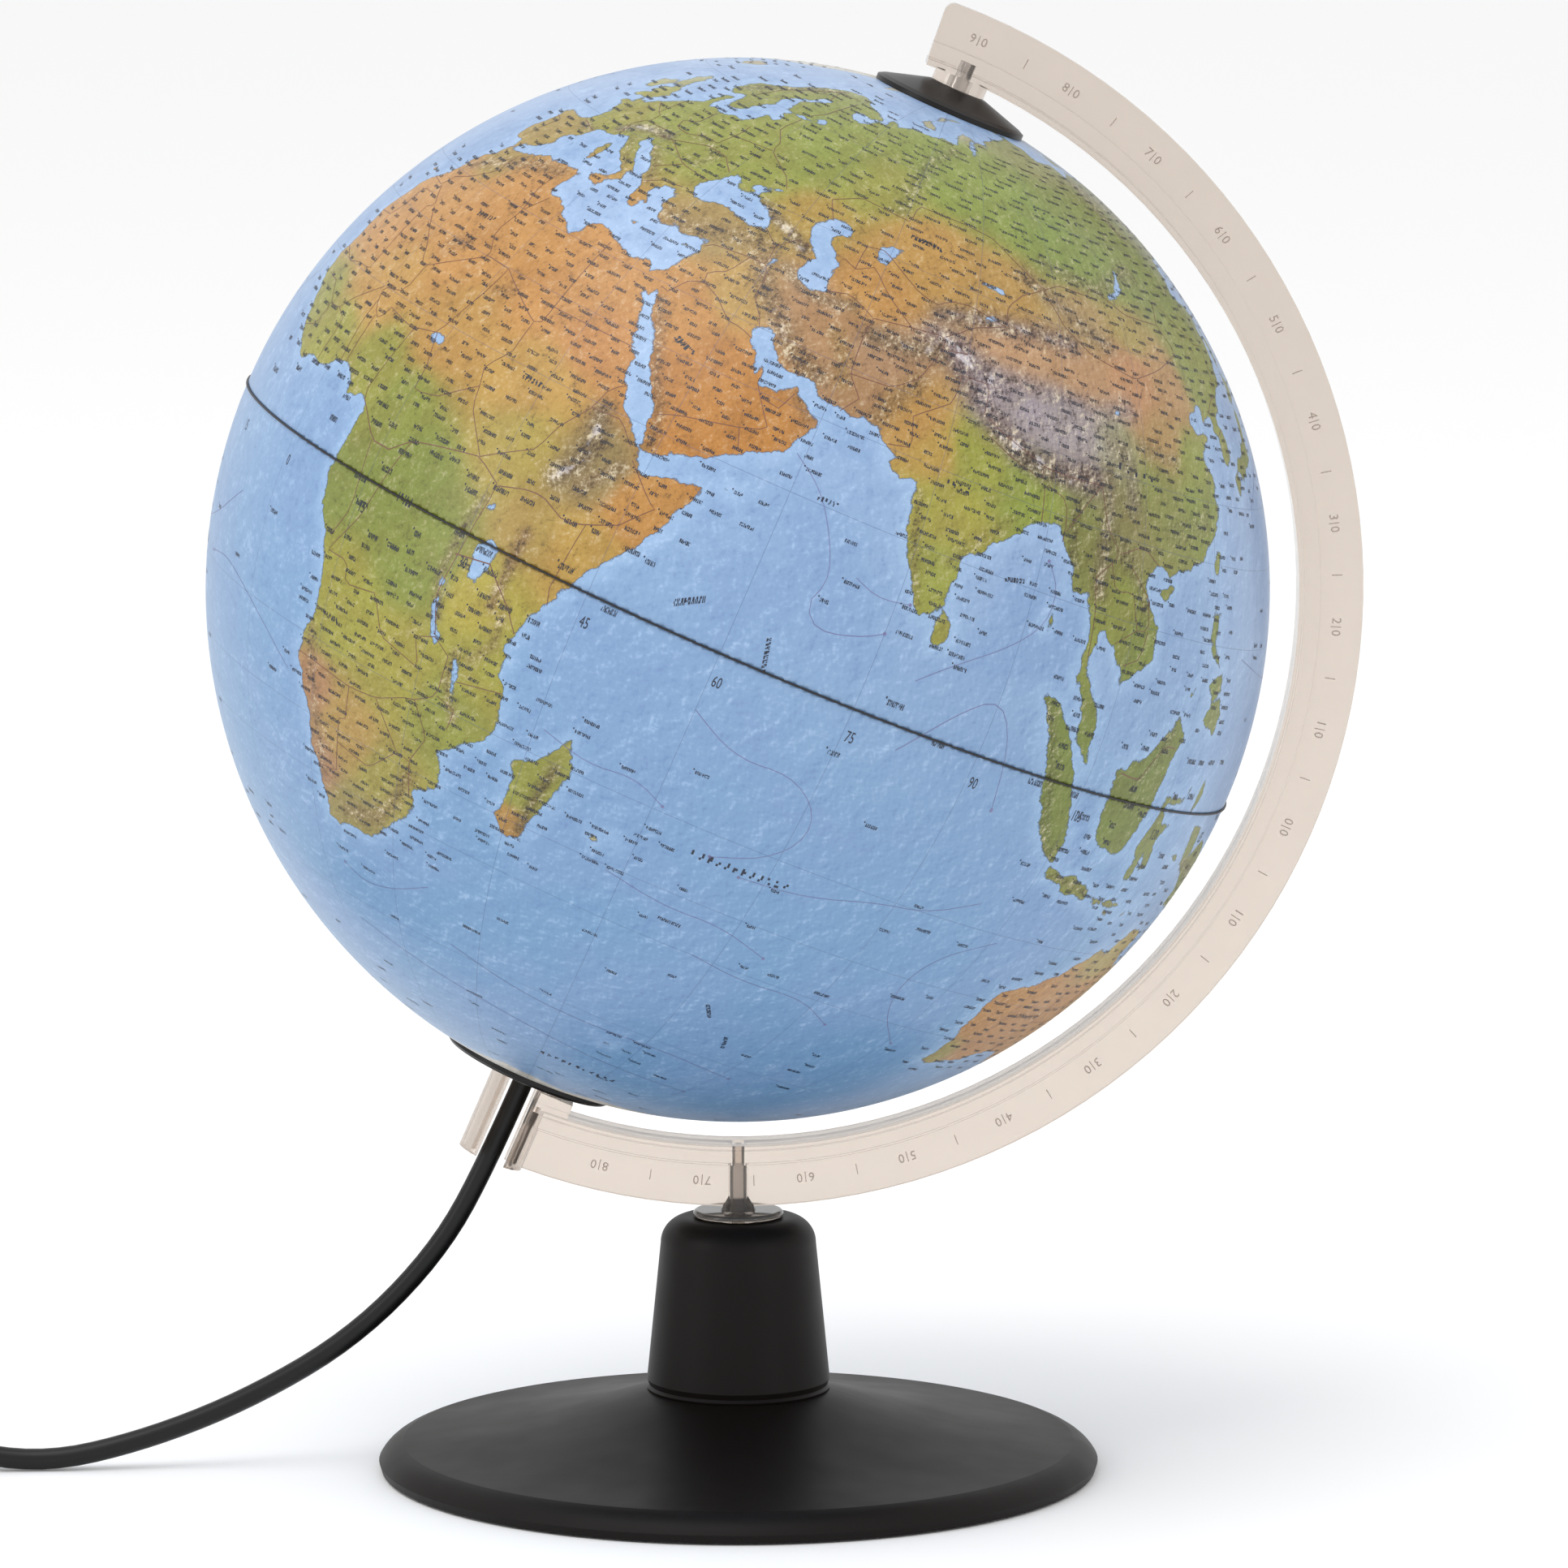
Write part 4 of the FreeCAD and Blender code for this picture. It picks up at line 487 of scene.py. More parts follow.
# %% Mountain ranges
ranges = [          # width in degrees, height from 0 to 1, colour, crest line
    (2.0, 1.0, "#6E5A66", "73.5,36.2 77,33.5 80,31 84,28.6 88,27.8 92,28 96,28.6"),
    (2.4, 0.9, "#8F7F94", "70,37.5 73,37.5 76,36 80,34.5"),
    (1.8, 0.8, "#7A6468", "70,40.5 75,41.6 80,42.2 86,43 92,43.2"),
    (2.0, 0.6, "#8E8494", "77,36 84,36.3 91,36 97,36 102,37.5"),
    (3.2, 0.45, "#B0A8BC", "80,33 86,33 93,33 98,32.5"),
    (1.6, 0.6, "#8C7460", "84,50 88,48.6 94,46.6 100,44.6"), (1.7, 0.8, "#7C6454", "62,34.6 67,35 71,36"),
    (1.8, 0.75, "#86684E", "44,37.5 47,34.2 50.5,31.5 54,28.6 57.5,27.6"),
    (1.2, 0.7, "#7C6450", "47.5,38 50.5,36.6 54,36.2 58,37"),
    (1.0, 0.9, "#6E5C50", "38.5,44.2 42,43.2 45,42.4 48,41"),
    (1.6, 0.6, "#8E744C", "28,37.5 32,37.2 36,38.4 40,39.2 44,39.4"),
    (1.4, 0.6, "#8C6C4C", "66,26 67.5,29 69.5,32"), (1.2, 0.55, "#A08048", "57.5,33 59.5,31 60.5,28"),
    (0.7, 0.6, "#7C7430", "73.6,20 74.4,16 75.6,12.4 77,9.2"), (0.9, 0.35, "#8E8838", "79,14.5 82,18 85,21"),
    (1.6, 0.9, "#6E5C4C", "37.5,14.2 38.5,11.5 38,8.5 36.5,6.5"),
    (1.1, 0.75, "#7A604A", "42.5,10 40.5,8 39.5,6.5"),
    (0.9, 0.8, "#7A5440", "36.2,1.5 36,-1 35.8,-3.4"),
    (0.7, 0.75, "#7C7050", "30.2,2.4 29.3,0 28.9,-3 30.2,-6.5"),
    (0.8, 0.65, "#84744A", "33.8,-8.8 33.6,-12 35.6,-15.5"),
    (0.8, 0.5, "#866E46", "37.4,-3 37.6,-6.5 35.5,-8.8"),
    (1.3, 0.65, "#8E6844", "-8.6,31 -5,32.6 -1,34 4,35.4 8.5,36"), (1.3, 0.5, "#9C6A3C", "4.5,23 7,23.6"),
    (1.0, 0.5, "#96663A", "16.5,20.6 18.8,21.4"),
    (1.2, 0.55, "#8A6E48", "31.5,-24.5 29.5,-28.8 27,-31.4 22,-32.4"),
    (0.8, 0.5, "#8E6C50", "13.5,-14 14.2,-18 16,-23 17.5,-29"),
    (0.8, 0.75, "#54462C", "46.8,-24 47.5,-20 48.6,-15.6"),
    (0.9, 0.7, "#8A5A34", "44.2,13.6 43.2,17 40.6,20.4 37.8,25.4 36,28"),
    (0.7, 0.6, "#8C5A30", "56.4,24.6 58.4,23"), (0.9, 0.9, "#7A7262", "6.4,44.6 8,46 11,46.7 15,47"),
    (0.7, 0.7, "#8A7A56", "-1.4,42.9 2.4,42.4"), (0.8, 0.5, "#7E8046", "19,49 23,48.6 25.6,46.8 24,45.4"),
    (0.9, 0.6, "#857450", "15.5,44.4 19,42.8 20.8,40.4"),
    (0.7, 0.5, "#857A4C", "10.5,44.3 13.5,42.2 16,39.8"),
    (1.2, 0.65, "#7C7E58", "7,60 10,62.6 14.5,66.4 19,69"),
    (1.1, 0.5, "#6C7A40", "58.8,52 59.4,58 60.4,63 65.5,67.4"),
    (1.5, 0.5, "#6C6C44", "89,53 95,52.4 101,52 108,54.6 115,56.6"),
    (1.5, 0.6, "#747058", "128,62.6 127,66 130,70"),
    (1.5, 0.6, "#7A745E", "138,68 144,65.4 150,62.8"),
    (1.1, 0.6, "#74744C", "157.5,52.4 160.4,56.6 163.6,61.4 172,66"),
    (0.9, 0.6, "#5C6434", "94,26.6 93.4,22.4 94.4,19"),
    (1.3, 0.75, "#6E6450", "98.4,29.5 98.8,25.4 98.4,21.4 98.8,17"),
    (1.3, 0.55, "#6A6A42", "101,22.5 104,20 106.6,17"), (1.6, 0.7, "#7A7264", "100.8,33 102.4,30 102.6,27.2"),
    (1.0, 0.5, "#807450", "104.4,34 108.6,33.6 111.6,33.6"),
    (1.6, 0.4, "#76804A", "110,25.6 114,26.6 118,27.6"),
    (0.9, 0.6, "#54682C", "95.8,4.8 98.8,1.6 101.4,-2 104.2,-5.2"),
    (0.5, 0.6, "#5E642C", "106.6,-7 110,-7.2 113.6,-7.9"),
    (0.9, 0.5, "#4E6A2E", "116.4,5.8 115,3 112.6,0.8"),
    (1.0, 0.75, "#5E6A38", "134,-3.6 138,-4.2 142,-5.4 146.4,-7.6"),
    (0.9, 0.45, "#6C8038", "145.4,-17 148.6,-22 151.4,-29 149,-35.6"),
    (0.8, 0.7, "#6E7E60", "167.6,-45.2 170.6,-43.4 173,-41.8"),
    (1.6, 0.7, "#7A6E54", "-128,59 -121,53.4 -115.6,48.6 -110,43.4 -106.4,38.6 -105.4,34"),
    (1.1, 0.6, "#7C7454", "-122,49 -121.4,44 -119.6,38.4 -117.8,35.4"),
    (1.4, 0.75, "#8A8878", "-155,61 -150,63 -143,61.6 -136,59.6"),
    (1.2, 0.55, "#8E6E48", "-108.6,29 -105.4,24.4 -102,20.4 -97,18"),
    (1.0, 0.45, "#6C7E3E", "-84,34.8 -80,38 -75,42"),
    (1.3, 0.85, "#80664A", "-74.6,8 -76.6,3 -78.4,-2 -77,-9 -72.6,-14.4 -68.4,-18.4 -69,-26 -70.2,-33 "
     "-71.4,-41 -73,-49"),
    (2.0, 0.5, "#A07C58", "-69,-17 -67.4,-22"), (1.0, 0.4, "#7E8A40", "-64,5 -60,4.6"),
    (1.0, 0.4, "#84843E", "-43.6,-20 -47,-23.4")]
print(len(zones), "zones,", len(ranges), "ranges")

# %% [markdown]
# Country borders are thin brown-red lines. They are open lists in the same form as the coasts.

# %% Borders
borders = [route(line) for line in """
    -13.1,27.7 -8.7,27.3 -8.7,28.8 -5,30 -1.5,32.2 -1.8,35
    -8.7,27.3 -8.7,26 -12,26 -12,23.4 -13,21.4 -17,21.2
    -8.7,27.3 -4.9,25 -6.5,24.8 -5.5,15.5 -9.6,15.4 -12,14.8 -16.5,16
    -4.9,25 1.2,21.1 3.2,19 4.2,19.2 12,23.5 9.4,26.2 9.9,30 8.3,32.6 8.4,36.8
    4.2,19.2 4.2,16.6 3.5,15.4 0.2,14.9 1,13.4 2.4,11.9 3.6,11.7 4,13.5 9,12.8 13.4,13.7 15.5,20 16,23.3 \
        12,23.5
    9.9,30 11.5,32.6
    16,23.3 24,19.5 24,20 25,20 25,22 25,31.4
    25,22 36.9,22
    24,19.5 24,15.7 22,13 22.9,11 23.5,8.8 27.4,5
    13.4,13.7 15,10 15.2,7.4 18.6,8 22.9,11
    9.9,13 8.6,4.8 13.2,2.2 16.2,2.2 18.6,3.5 22.4,4.2 27.4,5 31,3.6 30,-1.2 29.2,-4.4 30.8,-8.3
    13.2,2.2 14.5,-2 12.8,-4.6
    18.6,3.5 16.2,-2.2 13,-5.9 16.6,-5.9 17,-8 21.8,-7.3 24,-11 29.8,-12.2 28.4,-9.2 30.8,-8.3
    11.8,-17.3 14.2,-17.4 21,-18 25.2,-17.6 29.8,-15.6 30.4,-15.6 33,-14 33,-9.5 30.8,-8.3
    21,-18 21,-22 20,-22 20,-28.4 16.5,-28.6
    20,-24.8 25.5,-25.7 29.4,-22.2 31.3,-22.4 32,-26.8 32.8,-26.8
    25.2,-17.6 29.4,-22.2
    31.3,-22.4 33,-19 30.4,-15.6
    33,-14 35.6,-14.6 35.2,-17
    34.8,-11.6 40.4,-10.5
    33.9,-1 37.6,-3 39.3,-4.6
    33.9,-1 29.6,-1.4
    34,4.3 36,4.5 39.5,3.4 41.8,3.9 45,5 48,8 47,8 43.2,11.2
    41.8,3.9 41,-0.8 41.5,-1.7
    34,4.3 31,3.6
    27.4,5 33,8 34,11 36.3,14.3 37,17 38.6,18
    36.3,14.3 40,14.5 42.3,12.4
    -11.4,6.9 -8.4,7.6 -8,10.2 -11.4,12.4 -15,12.6
    -8,10.2 -5.5,10.4 -4,12 0.2,14.9
    -5.5,10.4 -2.8,9.6 -3,5.1
    1,13.4 0.9,11 1.6,6.2
    2.4,11.9 2.7,6.4
    34.9,29.5 36,29.2 37.5,31.5 39.2,32.1 42,31.1 44.7,29.2 46.5,29.1 48.4,28.5
    39.2,32.1 38.8,33.4 41,34.4 42.3,37.2
    36,36 37,36.7 42.3,37.2 44.8,37.2 44.4,39.8 41.6,41.5
    44.8,37.2 45.8,35.8 46,33 48,31 48.5,30
    51.6,24.2 52.6,22.9 55,20 52,19 45,17.4 43.2,16.6
    52.6,22.9 55.1,22.6 56,24.8
    52,19 53,16.7
    44.4,39.8 46.4,41.9 48.6,41.8
    61.6,25.1 63.2,27.2 61,29.4 60.8,34.4 61.2,36.6 57,38.2 54,37.4
    61,29.4 66.4,29.8 69.4,32 71.4,36.4 75,37
    61.2,36.6 66.5,37.4 71.4,38 71.4,36.4
    66.5,37.4 62,40 58.6,42.8 56,41.4 54,42.2
    56,41.4 56,45 59,45.5 66,42 69,41.4 71,42.6 74,43 80.2,42.2
    71.4,38 73.6,39.4 74.9,40.4 80.2,42.2 80.4,45 83,47.2 87.4,49.1
    49.4,46.4 47,49.2 51.4,51.4 61,51 61.4,54 71,54.2 77,53.8 83,51 87.4,49.1 91,50.6 98.2,50.6 98.3,52 \
        102,51.4 107,49.8 116.6,49.8
    87.4,49.1 91,45.2 96,42.8 105,41.7 111.8,43.8 119.8,46.8 116.6,49.8 119.8,53.2 127,50 130.8,48.4 \
        135,48.4 131,43
    130.6,42.3 128,42 124.4,40
    126.6,37.8 128.4,38.6
    68.2,23.8 71,24.4 70,27.8 74.4,30.9 74.8,34.4 78.9,34.5 78.8,31.2 81.2,30 88.1,27.9 92,27.8 97.2,28.2
    80,28.9 84,27.4 88.1,26.5 88.1,27.9
    89,22 88.6,26.3 92,25.2 92.4,22.8 92.3,20.8
    97.2,28.2 94.6,25 92.6,22
    97.2,28.2 98.6,24 101.1,21.6 100,20.4 97.8,18.4 98.8,14.8 99.2,10.2
    101.1,21.6 105,23.2 108,21.6
    100,20.4 101.2,17.6 104,18.2 105.6,14.4 107.5,14.6 106.8,18 103,20.8
    102.6,12.4 105.6,14.4
    107.5,14.6 107,11.6 104.6,10.5
    109.7,1.6 113,1.4 115.8,4.3 117.8,4.2
    141,-2.7 141,-9
    28,59.5 27.6,56.2 31,54 31.6,52.2 38,49.4 39.6,47.8
    23.6,51.6 31.6,52.2
    22.2,48.4 26.6,48.2 29.8,46.3
    19,49.4 22.8,49.4 23.6,52.6 23,54.2
    14.6,53.6 15,50.8 12.2,50.3 13.6,48.7 17,48.6 19,49.4
    6,53 6.4,49.4 8.2,49 7.6,47.6 10,47.5 13,47.6
    2.6,51 6.4,49.4
    7.6,47.6 6.2,46.2 7.6,43.9
    -1.6,43.3 3,42.5
    -8.8,41.9 -6.6,41.6 -7.4,37.2
    13.6,46.4 16.4,46.8 22.6,44.4 28.4,43.9
    16.4,46.8 22.2,48.4
    19,42.2 22.6,44.4
    20.6,40 22.8,41.2 26.4,41.6
    12,59.2 12.4,63.6 20.4,69 28.8,69.2
    24.2,65.8 20.4,69
    30.4,68 29.8,62.6 27.6,60.5
    129,-15 129,-31.6
    138,-16.6 138,-26 129,-26
    138,-26 141,-26 141,-38
    141,-29 149,-29 153.4,-28.2
    -141,69.6 -141,60.3
    -123,49 -95,49 -89.6,48 -83,46 -82.5,42.6 -76.4,44.2 -71.4,45 -67,47
    -117,32.5 -111,31.4 -106.4,31.8 -99.6,27.6 -97.2,25.9
    -77.2,8.6 -77.8,7.4
    -72,11.6 -67.4,6.2 -67,1.4 -69.8,-4.2
    -79,1.4 -75.2,0 -69.9,-4.2 -73.6,-7.4 -70.6,-9.6 -69.2,-17.8
    -69.2,-17.8 -67,-22.8 -62.8,-22 -58,-20 -58.2,-16.4 -62.4,-13.2 -65.4,-10.2 -69.6,-11
    -67,-22.8 -69.8,-31 -71.6,-39 -72,-48 -68.6,-52.2
    -62.8,-22 -57.8,-25 -54.6,-25.6 -57.6,-30.2 -53.4,-33.6
    -60,5 -60,8 -67.2,1.2
    -60,5 -52,2.4""".strip().splitlines()]
print(len(borders), "borders,", sum(len(b) for b in borders), "points")

# %% [markdown]
# ## From the map to the ball
# The map's longitudes and latitudes have to land on a tilted ball. The spin joint gives the ball's centre
# and axis. The artwork is drawn a little stretched next to the equator ring, which hides a few degrees
# of it, so a latitude moves away from the equator by up to three degrees.

# %% Map projection
spin = next(joint for joint in frame["record"]["behaviour"]["joints"] if joint["name"] == "globe_spin")
BALL_CENTRE = np.array(spin["pos_m"])
BALL_RADIUS = 130.0 * MM
FRONT_LONGITUDE = 62.0          # the longitude that faces the front
RING_STRETCH = 3.1              # degrees
RING_FADE = 4.0                 # degrees over which the stretch comes in
pole_axis = np.array(spin["axis"]) / np.linalg.norm(spin["axis"])
front_axis = np.array([0.0, -1.0, 0.0])
east_axis = np.cross(pole_axis, front_axis)
DEGREE = BALL_RADIUS * math.pi / 180.0


def stretched(latitude):
    return latitude + RING_STRETCH * np.tanh(latitude / RING_FADE)


def directions(longitude, latitude):
    """Unit vectors from the ball's centre for arrays of map degrees."""
    turn = np.radians(np.asarray(longitude, float) - FRONT_LONGITUDE)
    rise = np.radians(stretched(np.asarray(latitude, float)))
    return (np.outer(np.cos(rise) * np.cos(turn), front_axis)
            + np.outer(np.cos(rise) * np.sin(turn), east_axis) + np.outer(np.sin(rise), pole_axis))


latitude_table = np.linspace(-90.0, 90.0, 3601)


def map_place(points):
    """Longitude and latitude in degrees of an array of points in the CAD frame."""
    ray = (points - BALL_CENTRE) / np.linalg.norm(points - BALL_CENTRE, axis=1)[:, None]
    longitude = FRONT_LONGITUDE + np.degrees(np.arctan2(ray @ east_axis, ray @ front_axis))
    rise = np.degrees(np.arcsin(np.clip(ray @ pole_axis, -1.0, 1.0)))
    return (longitude + 180.0) % 360.0 - 180.0, np.interp(rise, stretched(latitude_table), latitude_table)


print("one degree on the ball is", round(DEGREE / MM, 2), "mm")

# %% [markdown]
# ## Where the land is
# Every point of the ball gets its distance from the nearest coast, in millimetres: above zero on land,
# below zero on water. A shader can then draw the coast as sharp as the render needs from a mesh that is
# far coarser than the line. The sign comes from counting how many coast edges lie east of the point.

# %% Coast distance
def fine_line(line, step, closed=False):
    """The same line with points no further apart than step degrees."""
    corners = np.array(line + [line[0]] if closed else line, float)
    spans = np.hypot(*(corners[1:] - corners[:-1]).T)
    along = np.concatenate([[0.0], np.cumsum(spans)])
    samples = np.linspace(0.0, along[-1], max(2, int(along[-1] / step) + 2))
    return np.interp(samples, along, corners[:, 0]), np.interp(samples, along, corners[:, 1])


def inside(outline, longitude, latitude):
    """True where a point lies in a closed outline."""
    corners = np.array(outline, float)
    middle = (corners[:, 0].min() + corners[:, 0].max()) / 2
    east = (longitude - middle + 180.0) % 360.0 - 180.0
    found = np.zeros(len(east), bool)
    reach = max(corners[:, 0].max() - middle, 1.0)
    near = np.flatnonzero((latitude >= corners[:, 1].min()) & (latitude <= corners[:, 1].max())
                          & (np.abs(east) <= reach))
    x, y = east[near], latitude[near]
    crossings = np.zeros(len(near), int)
    for (x1, y1), (x2, y2) in zip(corners, np.roll(corners, -1, axis=0)):
        if y1 != y2:
            spans = (y1 > y) != (y2 > y)
            crossings += spans & (x < (x1 - middle) + (y - y1) * (x2 - x1) / (y2 - y1))
    found[near] = crossings % 2 == 1
    return found


FEW_SAMPLES = 400       # fewer than this are tried one by one, more go in a search tree


def nearest(rays, lines, step=0.12, closed=False):
    """Distance in millimetres over the ball from each ray to the nearest of some lines."""
    samples = np.concatenate([directions(*fine_line(line, step, closed)) for line in lines])
    if len(samples) < FEW_SAMPLES:
        reach = np.full(len(rays), -1.0)
        for sample in samples:
            np.maximum(reach, rays @ sample, out=reach)
        return np.arccos(np.clip(reach, -1.0, 1.0)) * BALL_RADIUS / MM
    tree = KDTree(len(samples))
    for index, sample in enumerate(samples):
        tree.insert(sample, index)
    tree.balance()
    chords = np.array([tree.find(ray)[2] for ray in rays])
    return 2 * np.arcsin(np.clip(chords / 2, 0, 1)) * BALL_RADIUS / MM


def on_land(longitude, latitude):
    ground = np.zeros(len(longitude), bool)
    for outline in land.values():
        ground |= inside(outline, longitude, latitude)
    for outline in lakes:
        ground &= ~inside(outline, longitude, latitude)
    return ground


def coast_distance(rays, longitude, latitude):
    distance = nearest(rays, list(land.values()) + lakes, closed=True)
    distance = np.where(on_land(longitude, latitude), distance, -distance)
    for width, line in narrow_waters:
        distance = np.minimum(distance, nearest(rays, [line], 0.3) - width / 2 * DEGREE / MM)
    return distance


print("coast outlines:", len(land), "lands,", len(lakes), "lakes,", len(narrow_waters), "narrow waters")


# %% [markdown]
# ## The printed map's inks
# The real surface is a four-colour print under a satin varnish. The land is drawn in shaded relief: the
# artist lights the hills from the upper left. The shader does the same by comparing a height noise with
# the same noise a little further towards the light, which is bright on one side of a ridge and dark on
# the other. Each pattern's scale is in millimetres on the ball.

# %% Map material
HILL_MM = 6.5           # spacing of the larger hills
HILL_DETAIL = 7.0
HILL_ROUGHNESS = 0.68
LIGHT_STEP_MM = 0.60    # how far towards the light the second sample is
FINE_HILL_MM = 1.7      # spacing of the small hills on them
FINE_DETAIL = 4.0
FINE_STEP_MM = 0.22
FINE_SHARE = 0.30       # how much the small hills count beside the larger ones
PLAIN_SHADE = 2.3       # how strongly the plains are shaded
RANGE_SHADE = 4.2       # how much more the highest ranges are
WAVE_MM = 8.0           # spacing of the sea's mottling
WAVE_DETAIL = 8.0
WAVE_ROUGHNESS = 0.66
WAVE_STEP_MM = 0.8
COAST_WOBBLE_MM = 2.6   # how far the small bays reach
LINE_STEP = 15.0        # degrees between the net's lines
INK_WIDTH_MM = 0.16

printed_map, shader = new_material("varnished_map_print", Roughness=0.34, IOR=1.5, Specular_IOR_Level=0.4)
place = add_node(printed_map, "ShaderNodeTexCoord").outputs["Object"]


def value_of(name, output="Fac"):
    return add_node(printed_map, "ShaderNodeAttribute", attribute_name=name).outputs[output]


def compute(operation, a, b=0.0, c=0.0):
    return add_node(printed_map, "ShaderNodeMath", {0: a, 1: b, 2: c}, operation=operation).outputs[0]


def ramp(value, low, high, to_low=0.0, to_high=1.0):
    return add_node(printed_map, "ShaderNodeMapRange",
                    {"Value": value, "From Min": low, "From Max": high, "To Min": to_low, "To Max": to_high},
                    interpolation_type="SMOOTHSTEP").outputs["Result"]


def blend_ink(share, a, b, kind="MIX"):
    return add_node(printed_map, "ShaderNodeMix", {0: share, 6: a, 7: b}, data_type="RGBA",
                    blend_type=kind).outputs[2]


def hills(at, spacing_mm, detail, roughness=0.6):
    return add_node(printed_map, "ShaderNodeTexNoise",
                    {"Vector": at, "Scale": 1.0 / (spacing_mm * MM), "Detail": detail,
                     "Roughness": roughness}).outputs["Fac"]


def towards_light(step_mm):
    step = Vector((-0.6, -0.35, 0.7)).normalized() * step_mm * MM
    return add_node(printed_map, "ShaderNodeVectorMath", {0: place, 1: step}, operation="ADD").outputs[0]


wobble = compute("MULTIPLY", compute("SUBTRACT", hills(place, 5.0, 8.0, 0.66), 0.5), COAST_WOBBLE_MM * 2)
shore = compute("ADD", value_of("coast"), wobble)
is_land = ramp(shore, -0.10, 0.10)

mountain = value_of("relief")
slope = compute("SUBTRACT", hills(towards_light(LIGHT_STEP_MM), HILL_MM, HILL_DETAIL, HILL_ROUGHNESS),
                hills(place, HILL_MM, HILL_DETAIL, HILL_ROUGHNESS))
fine_slope = compute("SUBTRACT", hills(towards_light(FINE_STEP_MM), FINE_HILL_MM, FINE_DETAIL),
                     hills(place, FINE_HILL_MM, FINE_DETAIL))
both = compute("MULTIPLY_ADD", fine_slope, FINE_SHARE, slope)
strength = compute("MULTIPLY_ADD", mountain, RANGE_SHADE, PLAIN_SHADE)
shade = compute("MULTIPLY", both, strength)

patches = blend_ink(ramp(hills(place, 9.0, 6.0, 0.65), 0.35, 0.68), linear("#FFFFFF"), linear("#C9B48C"))
ground = blend_ink(0.42, value_of("tint", "Color"), patches, "MULTIPLY")
ground = blend_ink(0.42, ground, linear("#6A5C38"))
ground = blend_ink(ramp(shade, 0.0, 0.60, 0.0, 0.55), ground, linear("#EFE2C4"))
ground = blend_ink(ramp(compute("MULTIPLY", shade, -1.0), 0.0, 0.50, 0.0, 0.88), ground, linear("#33251E"))
snow = compute("MULTIPLY", ramp(mountain, 0.62, 1.0), ramp(hills(place, 3.6, 4.0, 0.6), 0.54, 0.62))
ground = blend_ink(compute("MULTIPLY", snow, 0.45), ground, linear("#ECE8EE"))

sea_slope = compute("SUBTRACT", hills(towards_light(WAVE_STEP_MM), WAVE_MM, WAVE_DETAIL, WAVE_ROUGHNESS),
                    hills(place, WAVE_MM, WAVE_DETAIL, WAVE_ROUGHNESS))
# The sea is lighter and more lavender higher up the ball, and darker and more cyan lower down. The hue change
# is the print's own. The darkening towards the bottom is painted shade for the light that falls from above.
tint_and_shade_height = add_node(printed_map, "ShaderNodeVectorMath",
                       {0: place, 1: Vector(pole_axis)}, operation="DOT_PRODUCT").outputs["Value"]
sea = blend_ink(ramp(tint_and_shade_height, 0.10, 0.32), linear("#6A90B6"), linear("#90A7C8"))
sea = blend_ink(ramp(hills(place, 34.0, 3.0), 0.40, 0.62, 0.0, 0.6), sea, linear("#7693BA"))
sea = blend_ink(ramp(shore, -5.0, -0.2, 0.0, 0.25), sea, linear("#A9C6E4"))
sea = blend_ink(ramp(sea_slope, 0.0, 0.16, 0.0, 0.42), sea, linear("#B7D0EE"))
sea = blend_ink(ramp(compute("MULTIPLY", sea_slope, -1.0), 0.0, 0.16, 0.0, 0.42), sea, linear("#4A689C"))


turned_place = add_node(printed_map, "ShaderNodeMapping",
                        {"Vector": place, "Location": tuple(-Vector(BALL_CENTRE))}).outputs["Vector"]


def along_axis(axis):
    return add_node(printed_map, "ShaderNodeVectorMath", {0: turned_place, 1: Vector(axis)},
                    operation="DOT_PRODUCT").outputs["Value"]


def net_line(angle, around):
    """One where an angle in degrees is a multiple of the net's step, as a line of constant width."""
    gap = compute("PINGPONG", angle, LINE_STEP / 2)
    return ramp(compute("MULTIPLY", gap, around), 0.35 * INK_WIDTH_MM, 0.75 * INK_WIDTH_MM, 1.0, 0.0)


height_share = compute("DIVIDE", along_axis(pole_axis), BALL_RADIUS)
rise = compute("MULTIPLY", compute("ARCSINE", height_share), 180.0 / math.pi)
turn = compute("ARCTAN2", along_axis(east_axis), along_axis(front_axis))
turn = compute("MULTIPLY_ADD", turn, 180.0 / math.pi, FRONT_LONGITUDE + 360.0)
ring_share = compute("MULTIPLY", compute("COSINE", compute("ARCSINE", height_share)), DEGREE / MM)
meridians = net_line(turn, ring_share)
latitude_degrees = compute("MAXIMUM", compute("SUBTRACT", compute("ABSOLUTE", rise), RING_STRETCH), 0.0)
parallels = compute("MULTIPLY", net_line(latitude_degrees, DEGREE / MM), ramp(latitude_degrees, 5.0, 6.0))
tropic = compute("ABSOLUTE", compute("SUBTRACT", latitude_degrees, 23.45))
tropic = ramp(compute("MULTIPLY", tropic, DEGREE / MM), 0.3 * INK_WIDTH_MM, 0.8 * INK_WIDTH_MM, 1.0, 0.0)
net = compute("MAXIMUM", compute("MAXIMUM", meridians, parallels), tropic)

printed = blend_ink(is_land, sea, ground)
coast_line = ramp(compute("ABSOLUTE", shore), 0.05, 0.30, 0.62, 0.0)
printed = blend_ink(coast_line, printed, linear("#34455C"))
printed = blend_ink(compute("MULTIPLY", net, 0.42), printed, linear("#3E4E70"))
link(printed_map, printed, shader, "Base Color")
emboss = compute("MULTIPLY", both, compute("MULTIPLY", is_land, compute("MULTIPLY_ADD", mountain, 0.8, 0.2)))
bump = add_node(printed_map, "ShaderNodeBump", {"Height": emboss, "Strength": 0.25, "Distance": 0.2 * MM})
link(printed_map, bump.outputs["Normal"], shader, "Normal")
print("map inks:", len(printed_map.node_tree.nodes), "nodes")

# %% [markdown]
# ## The ball's printed skins
# Each half is a formed shell 1.6 mm thick with the artwork on its outside. A UV sphere would crowd its
# points at the poles, so an icosphere is used, whose triangles are all nearly the same size. Planes cut
# the halves apart at the equator and open the poles, and a plain inner shell closes each one.

